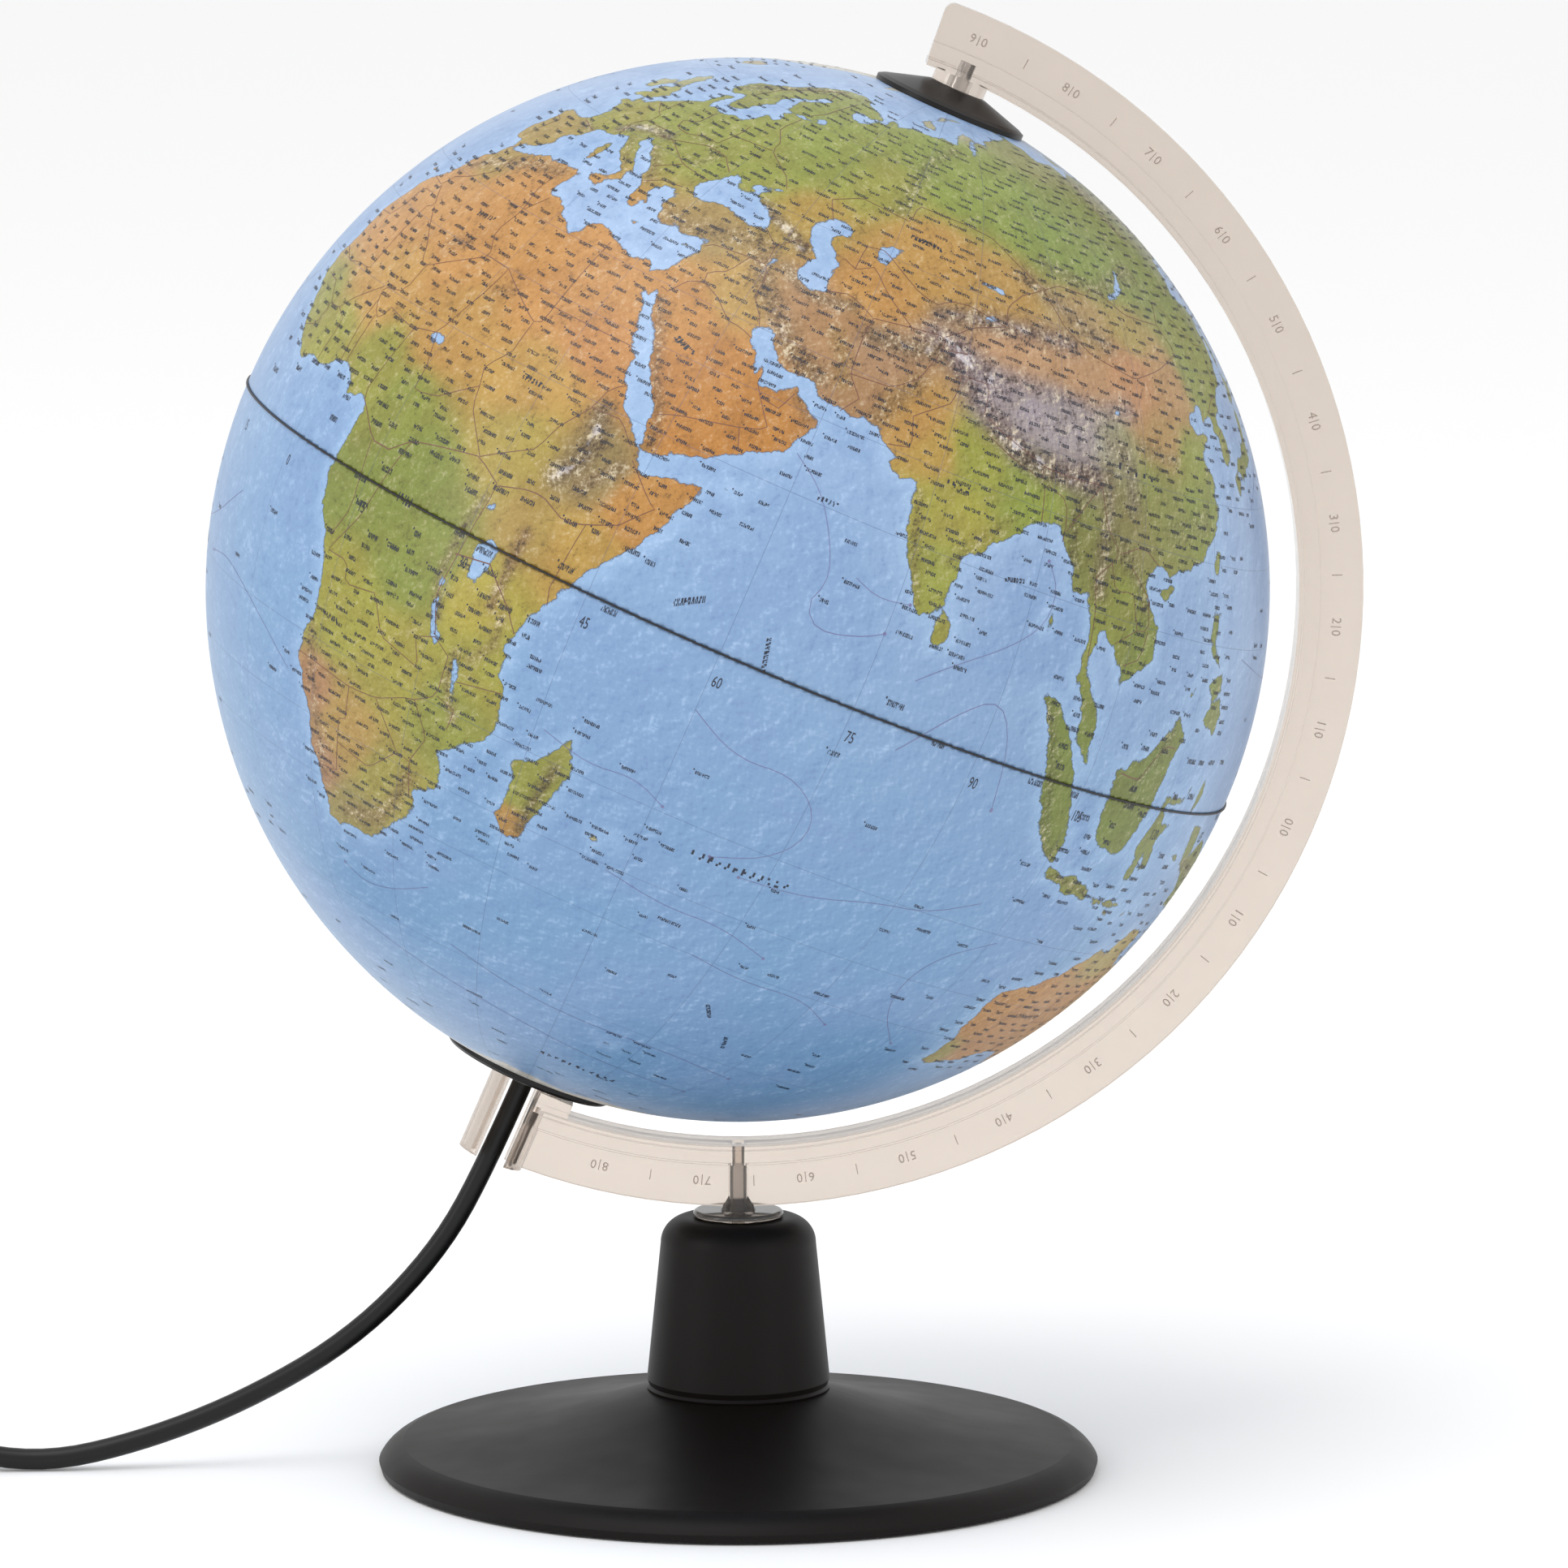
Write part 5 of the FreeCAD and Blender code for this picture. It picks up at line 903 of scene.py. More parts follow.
# %% Skins
SKIN_WALL = 1.6 * MM
HALF_SEAM = 0.2 * MM
POLE_HOLE = 15.05 * MM  # clears the neck at the south, and the cap covers it at the north
FINE = 8                # icosphere subdivisions, 1.2 mm triangles
COARSE = 5              # the plain lining needs far fewer


def polar_cut(bm, height, keep_north):
    """Keep only the part of a ball on one side of a plane across its axis."""
    bmesh.ops.bisect_plane(bm, geom=bm.verts[:] + bm.edges[:] + bm.faces[:], dist=1e-7,
                           plane_co=BALL_CENTRE + pole_axis * height, plane_no=pole_axis,
                           clear_inner=keep_north, clear_outer=not keep_north)


def half_shell(radius, subdivisions, side):
    """Half a ball from the seam to its polar hole."""
    bm = bmesh.new()
    bmesh.ops.create_icosphere(bm, subdivisions=subdivisions, radius=radius,
                               matrix=Matrix.Translation(Vector(BALL_CENTRE)))
    polar_cut(bm, side * HALF_SEAM, side > 0)
    polar_cut(bm, side * math.sqrt(radius ** 2 - POLE_HOLE ** 2), side < 0)
    return bm


def rim_edges(bm, side, at_seam):
    """The boundary edges at the seam, or at the polar hole."""
    return [edge for edge in bm.edges if edge.is_boundary
            and (side * (np.array(edge.verts[0].co) - BALL_CENTRE) @ pole_axis < BALL_RADIUS / 2) == at_seam]


def skin(name, side, node):
    """A closed half ball with its wall, on the north side for 1 and the south side for -1."""
    shell = half_shell(BALL_RADIUS, FINE, side)
    lining = half_shell(BALL_RADIUS - SKIN_WALL, COARSE, side)
    bmesh.ops.reverse_faces(lining, faces=lining.faces[:])
    lining_mesh = bpy.data.meshes.new("lining")
    lining.to_mesh(lining_mesh)
    lining.free()
    shell.from_mesh(lining_mesh)
    bpy.data.meshes.remove(lining_mesh)
    for at_seam in (True, False):
        bmesh.ops.bridge_loops(shell, edges=rim_edges(shell, side, at_seam))
    print(name, "open edges:", sum(edge.is_boundary for edge in shell.edges))
    return place_piece(name, shell, printed_map, "globe", [node])


northern_map_skin = skin("northern_map_skin", 1, "northern_hemisphere")
southern_map_skin = skin("southern_map_skin", -1, "southern_hemisphere")

# %% [markdown]
# Each point of a skin now gets its map values. A climate zone's weight falls off with its distance, and
# the weights are shared out so that every point has a full colour. Ranges then darken the land along
# their crests and say how rough it is.

# %% Paint the map on the skins
ZONE_SOFTNESS = 0.12        # higher blends the zones into each other more
CREST_STEP = 0.6            # degrees between the samples of a crest line
MOST_CREST_COLOUR = 0.85


def paint(piece):
    """Give a skin its map as point attributes."""
    mesh = piece.data
    count = len(mesh.vertices)
    places = np.empty(count * 3)
    mesh.vertices.foreach_get("co", places)
    longitude, latitude = map_place(places.reshape(count, 3))
    rays = directions(longitude, latitude)
    coast = coast_distance(rays, longitude, latitude)
    tint = np.zeros((count, 3))
    total = np.zeros(count)
    for east, north, reach, colour in zones:
        gap = np.degrees(np.arccos(np.clip(rays @ directions([east], [north])[0], -1, 1)))
        weight = 1.0 / ((gap / reach) ** 2 + ZONE_SOFTNESS) ** 3
        tint += weight[:, None] * np.array(linear(colour)[:3])
        total += weight
    tint /= total[:, None]
    relief = np.zeros(count)
    for width, height, colour, crest in ranges:
        gap = nearest(rays, [route(crest)], CREST_STEP) * MM / DEGREE
        rise = height * np.exp(-(gap / width * 1.25) ** 2)
        tint += (np.array(linear(colour)[:3]) - tint) * np.clip(rise * 1.1, 0, MOST_CREST_COLOUR)[:, None]
        relief = np.maximum(relief, rise)
    for title, values in (("coast", coast), ("relief", relief)):
        mesh.attributes.new(title, "FLOAT", "POINT").data.foreach_set("value", values.astype(np.float32))
    colours = np.ones((count, 4), np.float32)
    colours[:, :3] = tint
    mesh.attributes.new("tint", "FLOAT_COLOR", "POINT").data.foreach_set("color", colours.ravel())
    print(piece.name, "land share", round(float((coast > 0).mean()), 2))


paint(northern_map_skin)
paint(southern_map_skin)

# %% [markdown]
# ## Fine print on the ball
# Borders, sea currents, town dots and rows of tiny lettering are too fine for the skins' mesh, so they
# are flat pieces of their own. They are laid out on a plain sheet in map degrees, as the real artwork is,
# and one function then wraps the sheet on the ball, a twentieth of a millimetre above the varnish.

# %% Wrapping a sheet on the ball
INK_LIFT = 0.05 * MM


def wrap(mesh):
    """Move a mesh drawn in map degrees onto the ball."""
    places = np.empty(len(mesh.vertices) * 3)
    mesh.vertices.foreach_get("co", places)
    places = places.reshape(-1, 3)
    rays = directions(places[:, 0], places[:, 1])
    mesh.vertices.foreach_set("co", (BALL_CENTRE + rays * (BALL_RADIUS + INK_LIFT)).ravel())
    mesh.update()


def printed_sheet(name, bm, material):
    """Face every patch outwards, wrap the sheet and let it ride on the globe."""
    bm.normal_update()
    bmesh.ops.reverse_faces(bm, faces=[face for face in bm.faces if face.normal.z < 0])
    piece = place_piece(name, bm, material, "globe")
    wrap(piece.data)
    return piece


def narrowing(north):
    """How much shorter a degree of longitude is at a latitude."""
    return np.cos(np.radians(stretched(np.asarray(north, float))))


RIBBON_STEP = 1.3       # degrees, short enough for a strip to follow the ball


def ribbon(bm, line, width_mm):
    """A flat strip along a line, extruded edge by edge."""
    east, north = fine_line(line, RIBBON_STEP)
    shrink = narrowing(north)
    run = np.gradient(east) * shrink
    climb = np.gradient(north)
    size = np.hypot(run, climb)
    half = width_mm * MM / DEGREE / 2
    aside = np.stack([-climb / size / shrink, run / size], axis=1) * half
    middle = np.stack([east, north], axis=1)
    left = bm.verts.new((*(middle[0] + aside[0]), 0.0))
    right = bm.verts.new((*(middle[0] - aside[0]), 0.0))
    edge = bm.edges.new((left, right))
    for point, offset in zip(middle[1:], aside[1:]):
        made = bmesh.ops.extrude_edge_only(bm, edges=[edge])["geom"]
        edge = next(item for item in made if isinstance(item, bmesh.types.BMEdge) and left not in item.verts
                    and right not in item.verts)
        near, far = edge.verts
        if left not in [spoke.other_vert(near) for spoke in near.link_edges]:
            near, far = far, near
        near.co = (*(point + offset), 0.0)
        far.co = (*(point - offset), 0.0)
        left, right = near, far


# %% [markdown]
# The fine inks are plain colours mixed from black, brown and blue. Real ink is a little uneven where it
# dries, so each has a slow change in its depth.

# %% Ink finishes
INK_PATCH_MM = 6        # size of the thicker and thinner patches of ink


def ink(name, colour, paler):
    material, shader = new_material(name, Roughness=0.38, IOR=1.5)
    place = add_node(material, "ShaderNodeTexCoord").outputs["Object"]
    depth = add_node(material, "ShaderNodeTexNoise",
                     {"Vector": place, "Scale": 1.0 / (INK_PATCH_MM * MM)}).outputs["Fac"]
    mixed = add_node(material, "ShaderNodeMix", {0: depth, 6: linear(colour), 7: linear(paler)},
                     data_type="RGBA")
    link(material, mixed.outputs[2], shader, "Base Color")
    return material


lettering_ink = ink("blue_black_printing_ink", "#0E1220", "#262E42")
border_ink = ink("brown_printing_ink", "#5E3A34", "#7C5448")
current_ink = ink("violet_printing_ink", "#5D5C86", "#7C7CA6")
print("inks:", lettering_ink.name, border_ink.name, current_ink.name)

# %% Borders
BORDER_WIDTH_MM = 0.17
border_sheet = bmesh.new()
for line in borders:
    ribbon(border_sheet, line, BORDER_WIDTH_MM)
printed_sheet("border_lines", border_sheet, border_ink)

# %% [markdown]
# Sea currents are long thin curves with a small round dot where they end. Each is laid through a few
# points and eased between them.

# %% Sea currents
currents = [route(line) for line in """
    59,19 63,16.5 66,12 67.5,8 66,5.5 68,3.6 73,4.6 75,5.6
    70,9.5 73,8.4 76.5,9
    80,3 84,5.5 89,8.6 92.6,12 93,16 91,18.4
    81,-1.4 86,2 90,4 93,1.4 94.5,-3
    60,-4 66,-6.6 72,-6 76,-8.4 76.6,-12 73.5,-15.6 68,-17.6
    46,-12 52,-13.5 57,-12.6 61,-14.4
    58,-24 66,-25.4 73,-25 80,-27
    72,-30 80,-31 88,-30.4 94,-33
    100,-12 94,-15 88,-15.6 80,-18 72,-18.6
    106,-16 100,-19.4 98,-24 100,-29 106,-33
    36,-37 30,-40 24,-41.4 20,-40
    40,-44 52,-46.4 64,-47 78,-46.4 92,-47.6
    20,-48 34,-50.4 50,-52 70,-54 90,-54
    -20,12 -26,8 -34,7 -42,9
    -8,-6 -16,-10 -26,-12 -33,-11
    10,-20 2,-16 -8,-13 -16,-14
    -60,-40 -48,-42 -34,-44 -16,-43
    -76,28 -74,34 -66,38 -54,41 -40,45 -28,50
    -30,30 -38,25 -48,22 -58,20
    135,30 142,34 152,37 166,40 178,42
    130,14 140,12 152,11 168,12 178,11
    160,-22 158,-28 160,-34 168,-37
    -100,-20 -112,-14 -126,-10 -140,-8
    -88,-40 -84,-30 -82,-20 -86,-10
    -150,30 -140,32 -130,30 -124,24
    -170,-40 -150,-42 -130,-44 -110,-46""".strip().splitlines()]


def eased(line):
    """A smooth curve through the middles of a line's runs, by cutting its corners three times."""
    points = [Vector(point) for point in line]
    for _ in range(3):
        cut = [points[0]]
        for here, there in zip(points, points[1:]):
            cut += [here.lerp(there, 0.25), here.lerp(there, 0.75)]
        points = cut + [points[-1]]
    return [tuple(point) for point in points]


def dot(bm, east, north, radius_mm):
    """A small filled round."""
    size = radius_mm * MM / DEGREE
    flatten = Matrix.Diagonal((1.0 / float(narrowing(north)), 1.0, 1.0, 1.0))
    bmesh.ops.create_circle(bm, cap_ends=True, segments=8, radius=size,
                            matrix=Matrix.Translation((east, north, 0.0)) @ flatten)


CURRENT_WIDTH_MM = 0.13
CURRENT_END_MM = 0.42   # radius of the dot that ends a current
current_sheet = bmesh.new()
for line in currents:
    ribbon(current_sheet, eased(line), CURRENT_WIDTH_MM)
    dot(current_sheet, *line[-1], CURRENT_END_MM)
printed_sheet("sea_current_lines", current_sheet, current_ink)

# %% [markdown]
# The tiny place names are only there as texture, so they are drawn as strokes that spell nothing. Each
# word is one grid from which random cells are taken away, with every fourth column empty between the
# letters. Land is crowded with them, the coasts reach out into the sea, and the open sea has few.

# %% Rows of tiny lettering
LETTER_MM = 0.44        # width with its gap
LETTER_HEIGHT_MM = 0.86
ROW_DEGREES = 1.30
COLUMN_DEGREES = 3.1
EMPTY_CELLS = 0.36      # share of a word's cells that are taken away
TOWN_DOTS = 0.6         # share of the words that have a town dot
TOWN_DOT_MM = 0.2
CHANCE_ON_LAND = 0.86
CHANCE_NEAR_COAST = 0.50
CHANCE_AT_SEA = 0.05
CHANCE_IN_FAR_SOUTH = 0.08
NEAR_COAST_MM = 8.0
random_cells = random.Random(20)


def word(bm, east, north, letters, size=1.0, lean=0.0, spread=1.0):
    """A word of illegible strokes that starts at a place."""
    millimetre = MM / DEGREE
    columns = 4 * letters
    length = letters * LETTER_MM * size * spread
    shape = Matrix.Diagonal((length, LETTER_HEIGHT_MM * size, 1.0, 1.0))
    start = Matrix.Translation((0.5, 0.0, 0.0))
    flatten = Matrix.Diagonal((millimetre / float(narrowing(north)), millimetre, 1.0, 1.0))
    place = (Matrix.Translation((east, north, 0.0)) @ flatten @ Matrix.Rotation(lean, 4, "Z") @ shape @ start)
    made = bmesh.ops.create_grid(bm, x_segments=columns, y_segments=3, size=0.5, matrix=place)["verts"]
    back = place.inverted()
    gone = []
    filled = 3.0 / spread
    cells = dict.fromkeys(face for vert in made for face in vert.link_faces)
    for face in cells:
        column = int((back @ face.calc_center_median()).x * columns + columns / 2 + 0.01) % 4
        if column >= filled or random_cells.random() < EMPTY_CELLS:
            gone.append(face)
    bmesh.ops.delete(bm, geom=gone, context="FACES")


def name_places():
    """Places for words in rows along the parallels, with how likely each is."""
    rows = []
    for north in np.arange(-77.0, 82.0, ROW_DEGREES):
        count = int(360.0 * narrowing(north) / COLUMN_DEGREES)
        for east in np.linspace(-180.0, 180.0, count, endpoint=False):
            rows.append((east + random_cells.uniform(0, 0.9), north + random_cells.uniform(-0.25, 0.25)))
    places = np.array(rows)
    rays = directions(places[:, 0], places[:, 1])
    coast = coast_distance(rays, places[:, 0], places[:, 1])
    likely = np.where(coast > 0, CHANCE_ON_LAND,
                      np.where(coast > -NEAR_COAST_MM, CHANCE_NEAR_COAST, CHANCE_AT_SEA))
    likely = np.where((np.abs(places[:, 1]) < 3.0) | (places[:, 1] > 72), likely * 0.4, likely)
    likely = np.where(places[:, 1] < -60.0, CHANCE_IN_FAR_SOUTH, likely)
    return places, likely


class LetteringSheet:
    """Words gathered in small batches, because an operator slows down as its bmesh grows."""

    BATCH = 3000        # points

    def __init__(self):
        self.batch = bmesh.new()
        self.full = []

    def open_batch(self):
        if len(self.batch.verts) > self.BATCH:
            self.close_batch()
        return self.batch

    def close_batch(self):
        mesh = bpy.data.meshes.new("batch")
        self.batch.to_mesh(mesh)
        self.batch.free()
        self.full.append(mesh)
        self.batch = bmesh.new()

    def joined(self):
        self.close_batch()
        self.batch.free()
        whole = bmesh.new()
        for mesh in self.full:
            whole.from_mesh(mesh)
            bpy.data.meshes.remove(mesh)
        return whole


places, likely = name_places()
sheets = {"northern_lettering": LetteringSheet(), "southern_lettering": LetteringSheet()}
drawn = 0
for (east, north), chance in zip(places.tolist(), likely):
    draw = random_cells.random()
    letters = random_cells.randint(5, 10)
    if draw < chance:
        sheet = sheets["northern_lettering" if north > 0 else "southern_lettering"].open_batch()
        if random_cells.random() < TOWN_DOTS:
            dot(sheet, east, north + 0.24, TOWN_DOT_MM)
        word(sheet, east + 0.25, north, letters)
        drawn += 1
print("words drawn:", drawn)

# %% [markdown]
# A few longer names of lands and seas are larger and widely spaced. They use the same strokes.

# %% Names of seas and lands
wide_names = [          # longitude, latitude, letters, size, lean in radians, spread
    (66, -18, 12, 2.2, 0.03, 2.2), (-32, -14, 10, 2.2, 0.0, 2.2), (-50, 34, 9, 2.2, 0.1, 2.2),
    (-150, 20, 12, 2.2, 0.0, 2.4), (-140, -28, 12, 2.2, 0.0, 2.4), (160, 16, 8, 2.0, 0.0, 2.2),
    (60, -58, 11, 1.9, 0.0, 2.2), (53.5, 1.6, 9, 1.3, 0.35, 1.4), (64, 2, 8, 1.2, -1.2, 1.2),
    (63, 15.6, 6, 1.4, 0.0, 1.5), (86, 15, 7, 1.3, 0.2, 1.4), (40.5, 25, 6, 1.8, -0.35, 1.3),
    (76, 22.4, 4, 1.7, 0.0, 2.4), (100, 31, 5, 2.0, -0.1, 3.2), (62, 49, 9, 1.5, -0.05, 1.4),
    (4, 27, 7, 1.5, 0.1, 1.6), (15, -12, 6, 1.5, 0.0, 1.4), (20, 0, 5, 1.5, 0.0, 1.6),
    (27, 14, 6, 1.5, 0.0, 1.5), (122, -25, 9, 1.9, 0.0, 1.8), (-60, -9, 6, 1.9, 0.0, 1.8),
    (-108, 40, 10, 1.7, 0.0, 1.7), (-110, 57, 6, 1.8, 0.0, 2.6), (90, 62, 6, 2.0, 0.0, 3.0),
    (-150, -70, 8, 1.8, 0.0, 2.4), (78, -36, 9, 1.2, -1.0, 1.1), (66, -27, 12, 1.1, 0.0, 1.0),
    (84, -40, 9, 1.2, -1.2, 1.1), (42, -40, 10, 1.1, 0.0, 1.0)]
for east, north, letters, size, lean, spread in wide_names:
    word(sheets["northern_lettering" if north > 0 else "southern_lettering"].open_batch(),
         east, north, letters, size, lean, spread)
for name, sheet in sheets.items():
    printed_sheet(name, sheet.joined(), lettering_ink)

# %% [markdown]
# ## The arm's degree scale
# The clear arm is moulded with a scale: a short tick at every five degrees of latitude and a number at
# every ten, which runs from 0 opposite the equator to 90 at the north pole and 80 near the south one.
# On the real arm the marks stand up from the front of the web by a hair. The ticks are small blocks,
# and the digits are text turned into a mesh and given a thickness.

# %% Degree numbers as meshes
def number_mesh(text, height):
    """A number as a flat mesh, centred on its own middle."""
    curve = bpy.data.curves.new("number", "FONT")
    curve.body = text
    curve.size = height
    curve.align_x = "CENTER"
    curve.align_y = "CENTER"
    curve.resolution_u = 2
    holder = bpy.data.objects.new("number", curve)
    mesh = bpy.data.meshes.new_from_object(holder)
    bpy.data.objects.remove(holder)
    bpy.data.curves.remove(curve)
    return mesh


ARM_CENTRE = Vector(BALL_CENTRE)
AXIS_LEAN = math.degrees(math.atan2(pole_axis[0], pole_axis[2]))
WEB_FRONT = -1.3 * MM - 0.02 * MM      # the web's front face and a hair in front of it
SCALE_RADIUS = 146.6 * MM
TICK = (0.22 * MM, 2.6 * MM)
MARK_HEIGHT = 0.12 * MM
DIGIT_HEIGHT = 3.2 * MM
DIGIT_ASIDE = 1.5 * MM
LAST_LATITUDE = -80     # the arm's lower end begins beyond it


def on_arm(angle, radius, aside=0.0):
    """Where a mark stands on the arm's front, turned so that its top points outwards."""
    turn = math.radians(angle)
    radial = Vector((math.sin(turn), 0.0, math.cos(turn)))
    along = Vector((math.cos(turn), 0.0, -math.sin(turn)))
    middle = ARM_CENTRE + radial * radius + along * aside
    middle.y = WEB_FRONT
    frame_of_mark = Matrix((along, radial, Vector((0.0, -1.0, 0.0)))).transposed().to_4x4()
    return Matrix.Translation(middle) @ frame_of_mark


scale = bmesh.new()
digit_faces = 0
for latitude in range(90, LAST_LATITUDE - 1, -5):
    angle = AXIS_LEAN + 90.0 - latitude
    tick = on_arm(angle, SCALE_RADIUS) @ Matrix.Diagonal((TICK[0], TICK[1], 1.0, 1.0))
    bmesh.ops.create_grid(scale, x_segments=1, y_segments=1, size=0.5, matrix=tick)
    if latitude % 10 == 0:
        for digit, aside in zip("%02d" % abs(latitude), (-DIGIT_ASIDE, DIGIT_ASIDE)):
            mesh = number_mesh(digit, DIGIT_HEIGHT)
            mesh.transform(on_arm(angle, SCALE_RADIUS, aside))
            digit_faces += len(mesh.polygons)
            scale.from_mesh(mesh)
            bpy.data.meshes.remove(mesh)
walls = bmesh.ops.extrude_face_region(scale, geom=scale.faces[:])["geom"]
bmesh.ops.translate(scale, verts=[item for item in walls if isinstance(item, bmesh.types.BMVert)],
                    vec=(0.0, -MARK_HEIGHT, 0.0))
bmesh.ops.recalc_face_normals(scale, faces=scale.faces[:])
print("degree scale digits have", digit_faces, "flat faces")

# %% [markdown]
# Small numbers stand beside the equator where every fifteenth meridian crosses it. They are text meshes
# laid on the same flat sheet in map degrees and wrapped like the rest of the print.

# %% Meridian numbers on the ball
NUMBER_MM = 2.4
number_sheet = bmesh.new()
for east in range(-165, 181, 15):
    mesh = number_mesh(str(abs(east)), NUMBER_MM * MM)
    mesh.transform(Matrix.Translation((east + 0.9, -1.7, 0.0)) @ Matrix.Scale(1.0 / DEGREE, 4))
    number_sheet.from_mesh(mesh)
    bpy.data.meshes.remove(mesh)
printed_sheet("meridian_numbers", number_sheet, lettering_ink)

# %% [markdown]
# ## Clear acrylic
# The arm is injection-moulded acrylic: clear and hard, with rounded edges that look darker because they
# bend the light away. The shader paints that darkening in as a grey painted shade wherever a face is seen
# edge-on. Acrylic has an IOR of 1.49. The mould leaves very faint flow lines, and a warm
# tint shows where the light passes through a long way.

# %% Clear acrylic finish
def clear_moulding(name, tint, roughness, flow_mm):
    material, shader = new_material(name, Roughness=roughness, IOR=1.49, Transmission_Weight=0.9)
    place = add_node(material, "ShaderNodeTexCoord").outputs["Object"]
    flow = add_node(material, "ShaderNodeTexNoise",
                    {"Vector": place, "Scale": 1.0 / (flow_mm * MM), "Detail": 2.0}).outputs["Fac"]
    paler = [min(1.0, channel * 1.06) for channel in linear(tint)[:3]] + [1.0]
    colour = add_node(material, "ShaderNodeMix", {0: flow, 6: linear(tint), 7: paler}, data_type="RGBA")
    # Painted shade: faces seen at a glancing angle get a darker grey mixed into their colour, in place of the
    # dark edges that refraction gives.
    facing = add_node(material, "ShaderNodeLayerWeight", {"Blend": 0.5}).outputs["Facing"]
    painted_edge_shade_share = add_node(material, "ShaderNodeMapRange",
                          {"Value": facing, "From Min": 0.72, "From Max": 0.98,
                           "To Max": 0.75}).outputs["Result"]
    edge_shaded_colour = add_node(material, "ShaderNodeMix",
                     {0: painted_edge_shade_share, 6: colour.outputs[2], 7: linear("#8B837D")}, data_type="RGBA")
    link(material, edge_shaded_colour.outputs[2], shader, "Base Color")
    bump = add_node(material, "ShaderNodeBump", {"Height": flow, "Strength": 0.06, "Distance": 0.3 * MM})
    link(material, bump.outputs["Normal"], shader, "Normal")
    return material


clear_acrylic = clear_moulding("injection_moulded_acrylic", "#DDD1C6", 0.08, 9.0)
dress(clear_acrylic, "meridian_arm")
frosted_acrylic = clear_moulding("raised_acrylic_marks", "#C4BBB4", 0.35, 4.0)
degree_scale = place_piece("degree_scale", scale, frosted_acrylic, "stand")
degree_scale.data.shade_flat()
print("clear finishes:", clear_acrylic.name, frosted_acrylic.name)

# %% [markdown]
# ## Black enamel
# The base and stem are pressed steel with a matt black stoved enamel. Stoving leaves a fine even
# roughness that scatters a light into a broad soft grey, with slight changes where hands have polished
# it. The plastic cap at the north pole is the same black with a satin skin.

# %% Enamel and cap finishes
black_enamel = grainy_plastic("stoved_black_enamel", "#100C0A", 0.46, 0.6, 0.12, 0.16)
dress(black_enamel, "base_shell", "stem")
cap_black = grainy_plastic("satin_black_polystyrene", "#100E0E", 0.36, 0.7, 0.14, 0.3)
dress(cap_black, "north_cap", "south_ring")
seam_black = grainy_plastic("moulded_black_polypropylene", "#1E1C20", 0.45, 0.5, 0.12)
dress(seam_black, "equator_ring")
cover_board = grainy_plastic("thermoformed_black_polystyrene", "#232222", 0.6, 1.1, 0.35)
dress(cover_board, "base_cover")
phenolic = grainy_plastic("pressed_black_phenolic", "#171516", 0.3, 0.8, 0.1)
dress(phenolic, "lamp_holder_body")
natural_nylon = grainy_plastic("moulded_natural_nylon", "#D8D4C6", 0.42, 0.8, 0.1)
dress(natural_nylon, "thrust_washer", "cord_grip")
white_polystyrene = grainy_plastic("moulded_white_polystyrene", "#DEDDD6", 0.4, 0.8, 0.1)
dress(white_polystyrene, "north_lock_ring", "south_lock_ring")
steatite = grainy_plastic("glazed_steatite", "#E6E1D4", 0.16, 1.2, 0.08)
dress(steatite, "holder_insulator")
print("moulded finishes dressed")

# %% [markdown]
# ## Metals
# Screws and the pivot are zinc-plated steel, turned on a lathe, which leaves fine rings round their own
# axis. The lamp holder's metal is brass, the lamp's cap is rolled aluminium, and the plug's pins are
# nickel plated. A metal keeps the default IOR, and its roughness varies a little with handling.

# %% Metal finishes
def turned_metal(name, colour, roughness, ring_mm, depth=0.15):
    material, shader = new_material(name, Metallic=1.0)
    place = add_node(material, "ShaderNodeTexCoord").outputs["Object"]
    rings = add_node(material, "ShaderNodeTexNoise",
                     {"Vector": place, "Scale": 1.0 / (ring_mm * MM), "Detail": 4.0}).outputs["Fac"]
    dull = add_node(material, "ShaderNodeMapRange",
                    {"Value": rings, "To Min": roughness * 0.7, "To Max": roughness * 1.4})
    deeper = [channel * 0.82 for channel in linear(colour)[:3]] + [1.0]
    tone = add_node(material, "ShaderNodeMix", {0: rings, 6: linear(colour), 7: deeper}, data_type="RGBA")
    bump = add_node(material, "ShaderNodeBump", {"Height": rings, "Strength": depth, "Distance": 0.05 * MM})
    link(material, tone.outputs[2], shader, "Base Color")
    link(material, dull.outputs["Result"], shader, "Roughness")
    link(material, bump.outputs["Normal"], shader, "Normal")
    return material


zinc_steel = turned_metal("zinc_plated_turned_steel", "#C9CACC", 0.22, 0.6)
dress(zinc_steel, "tie_screw", "tie_washer", "pivot_pin", "base_screws", "switch_screws", "rocker_pin")
rolled_steel = turned_metal("plain_rolled_steel", "#8F908F", 0.42, 3.0, 0.3)
dress(rolled_steel, "ballast_disc")
turned_brass = turned_metal("turned_brass", "#D9B566", 0.24, 0.7)
dress(turned_brass, "holder_nipple", "nipple_nut", "holder_thread_shell", "holder_centre_contact",
      "lamp_tip", "switch_contacts")
rolled_aluminium = turned_metal("rolled_aluminium", "#C8C9CB", 0.3, 0.8)
dress(rolled_aluminium, "lamp_cap")
nickel_plate = turned_metal("nickel_plated_brass", "#D5D2CB", 0.16, 0.9, 0.08)
dress(nickel_plate, "plug_pins")
print("metals dressed")

# %% [markdown]
# ## Felt and opal glass
# The pad under the base is pressed wool felt: short fibres in every direction, so it has no shine, only
# a soft sheen at a glancing angle. The lamp is a small opal bulb, whose white coat lets light through
# but hides the filament.

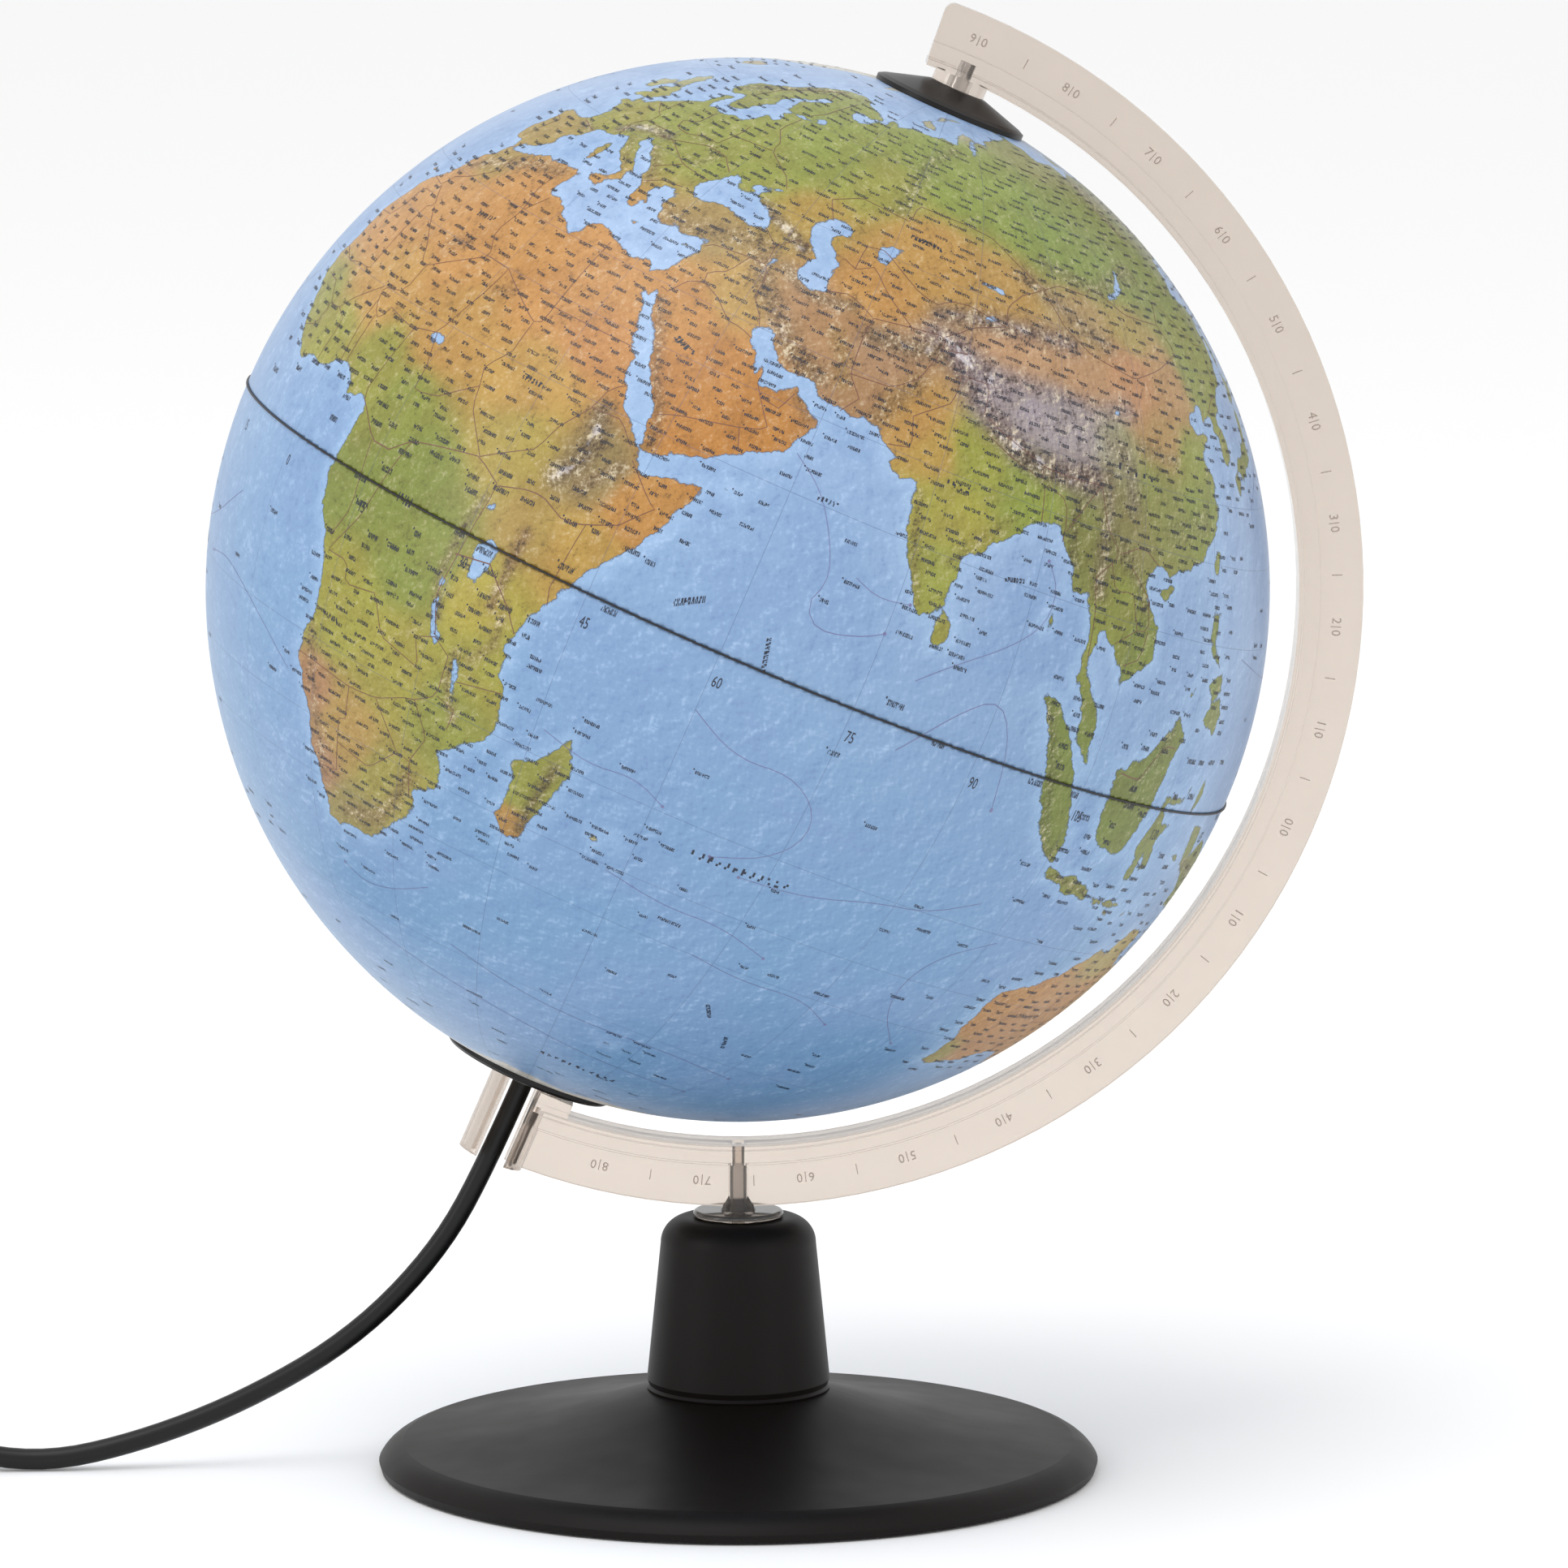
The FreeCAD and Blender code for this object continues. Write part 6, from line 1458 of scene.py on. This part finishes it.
# %% Felt and lamp finishes
pressed_felt, shader = new_material("pressed_wool_felt", Roughness=0.95, Sheen_Weight=0.4)
place = add_node(pressed_felt, "ShaderNodeTexCoord").outputs["Object"]
fibres = add_node(pressed_felt, "ShaderNodeTexNoise",
                  {"Vector": place, "Scale": 1.0 / (0.9 * MM), "Detail": 6.0,
                   "Distortion": 1.5}).outputs["Fac"]
fibre_colour = add_node(pressed_felt, "ShaderNodeMix",
                        {0: fibres, 6: linear("#141414"), 7: linear("#3A3838")}, data_type="RGBA")
fibre_bump = add_node(pressed_felt, "ShaderNodeBump",
                      {"Height": fibres, "Strength": 0.6, "Distance": 0.3 * MM})
link(pressed_felt, fibre_colour.outputs[2], shader, "Base Color")
link(pressed_felt, fibre_bump.outputs["Normal"], shader, "Normal")
dress(pressed_felt, "felt_pad")

opal_glass, shader = new_material("opal_blown_glass", Roughness=0.18, IOR=1.52, Transmission_Weight=0.25)
place = add_node(opal_glass, "ShaderNodeTexCoord").outputs["Object"]
coat = add_node(opal_glass, "ShaderNodeTexNoise", {"Vector": place, "Scale": 1.0 / (7 * MM)}).outputs["Fac"]
coat_colour = add_node(opal_glass, "ShaderNodeMix",
                       {0: coat, 6: linear("#F1EEE6"), 7: linear("#FBFAF6")}, data_type="RGBA")
link(opal_glass, coat_colour.outputs[2], shader, "Base Color")
dress(opal_glass, "lamp_glass")
print("felt and lamp dressed")

# %% [markdown]
# ## Floor and lights
# The object stands on a plain pale floor in a bright, soft studio: a large overhead softbox, two tall
# side softboxes that draw the long streaks on the ball, and an even white world that fills the shadows.

# %% Floor
floor_mesh = bmesh.new()
bmesh.ops.create_grid(floor_mesh, x_segments=2, y_segments=2, size=6.0)
mesh = bpy.data.meshes.new("studio_floor")
floor_mesh.to_mesh(mesh)
floor_mesh.free()
floor_paint, _ = new_material("matt_white_floor_paint", Base_Color=linear("#FCFCFC"), Roughness=0.8)
mesh.materials.append(floor_paint)
studio_floor = bpy.data.objects.new("studio_floor", mesh)
scene.collection.objects.link(studio_floor)

# %% Lights
def softbox(name, place, target, size, power):
    light = bpy.data.lights.new(name, "AREA")
    light.shape = "RECTANGLE"
    light.size, light.size_y = size
    light.energy = power
    lamp = bpy.data.objects.new(name, light)
    lamp.location = place
    lamp.rotation_euler = (Vector(target) - Vector(place)).to_track_quat("-Z", "Y").to_euler()
    scene.collection.objects.link(lamp)
    return lamp


ball_centre = tuple(BALL_CENTRE)
softbox("overhead_softbox", (-0.5, -0.7, 2.2), ball_centre, (1.6, 1.6), 20.0)
softbox("left_softbox", (-1.9, -1.1, 1.0), ball_centre, (0.5, 1.5), 7.0)
softbox("right_softbox", (1.5, -1.5, 0.6), ball_centre, (0.12, 1.3), 2.5)

world = bpy.data.worlds.new("studio_world")
world.use_nodes = True
world.node_tree.nodes["Background"].inputs["Color"].default_value = linear("#FFFFFF")
world.node_tree.nodes["Background"].inputs["Strength"].default_value = 0.95
scene.world = world
scene.view_settings.view_transform = "Standard"      # shows the paint-chart colours as they are written
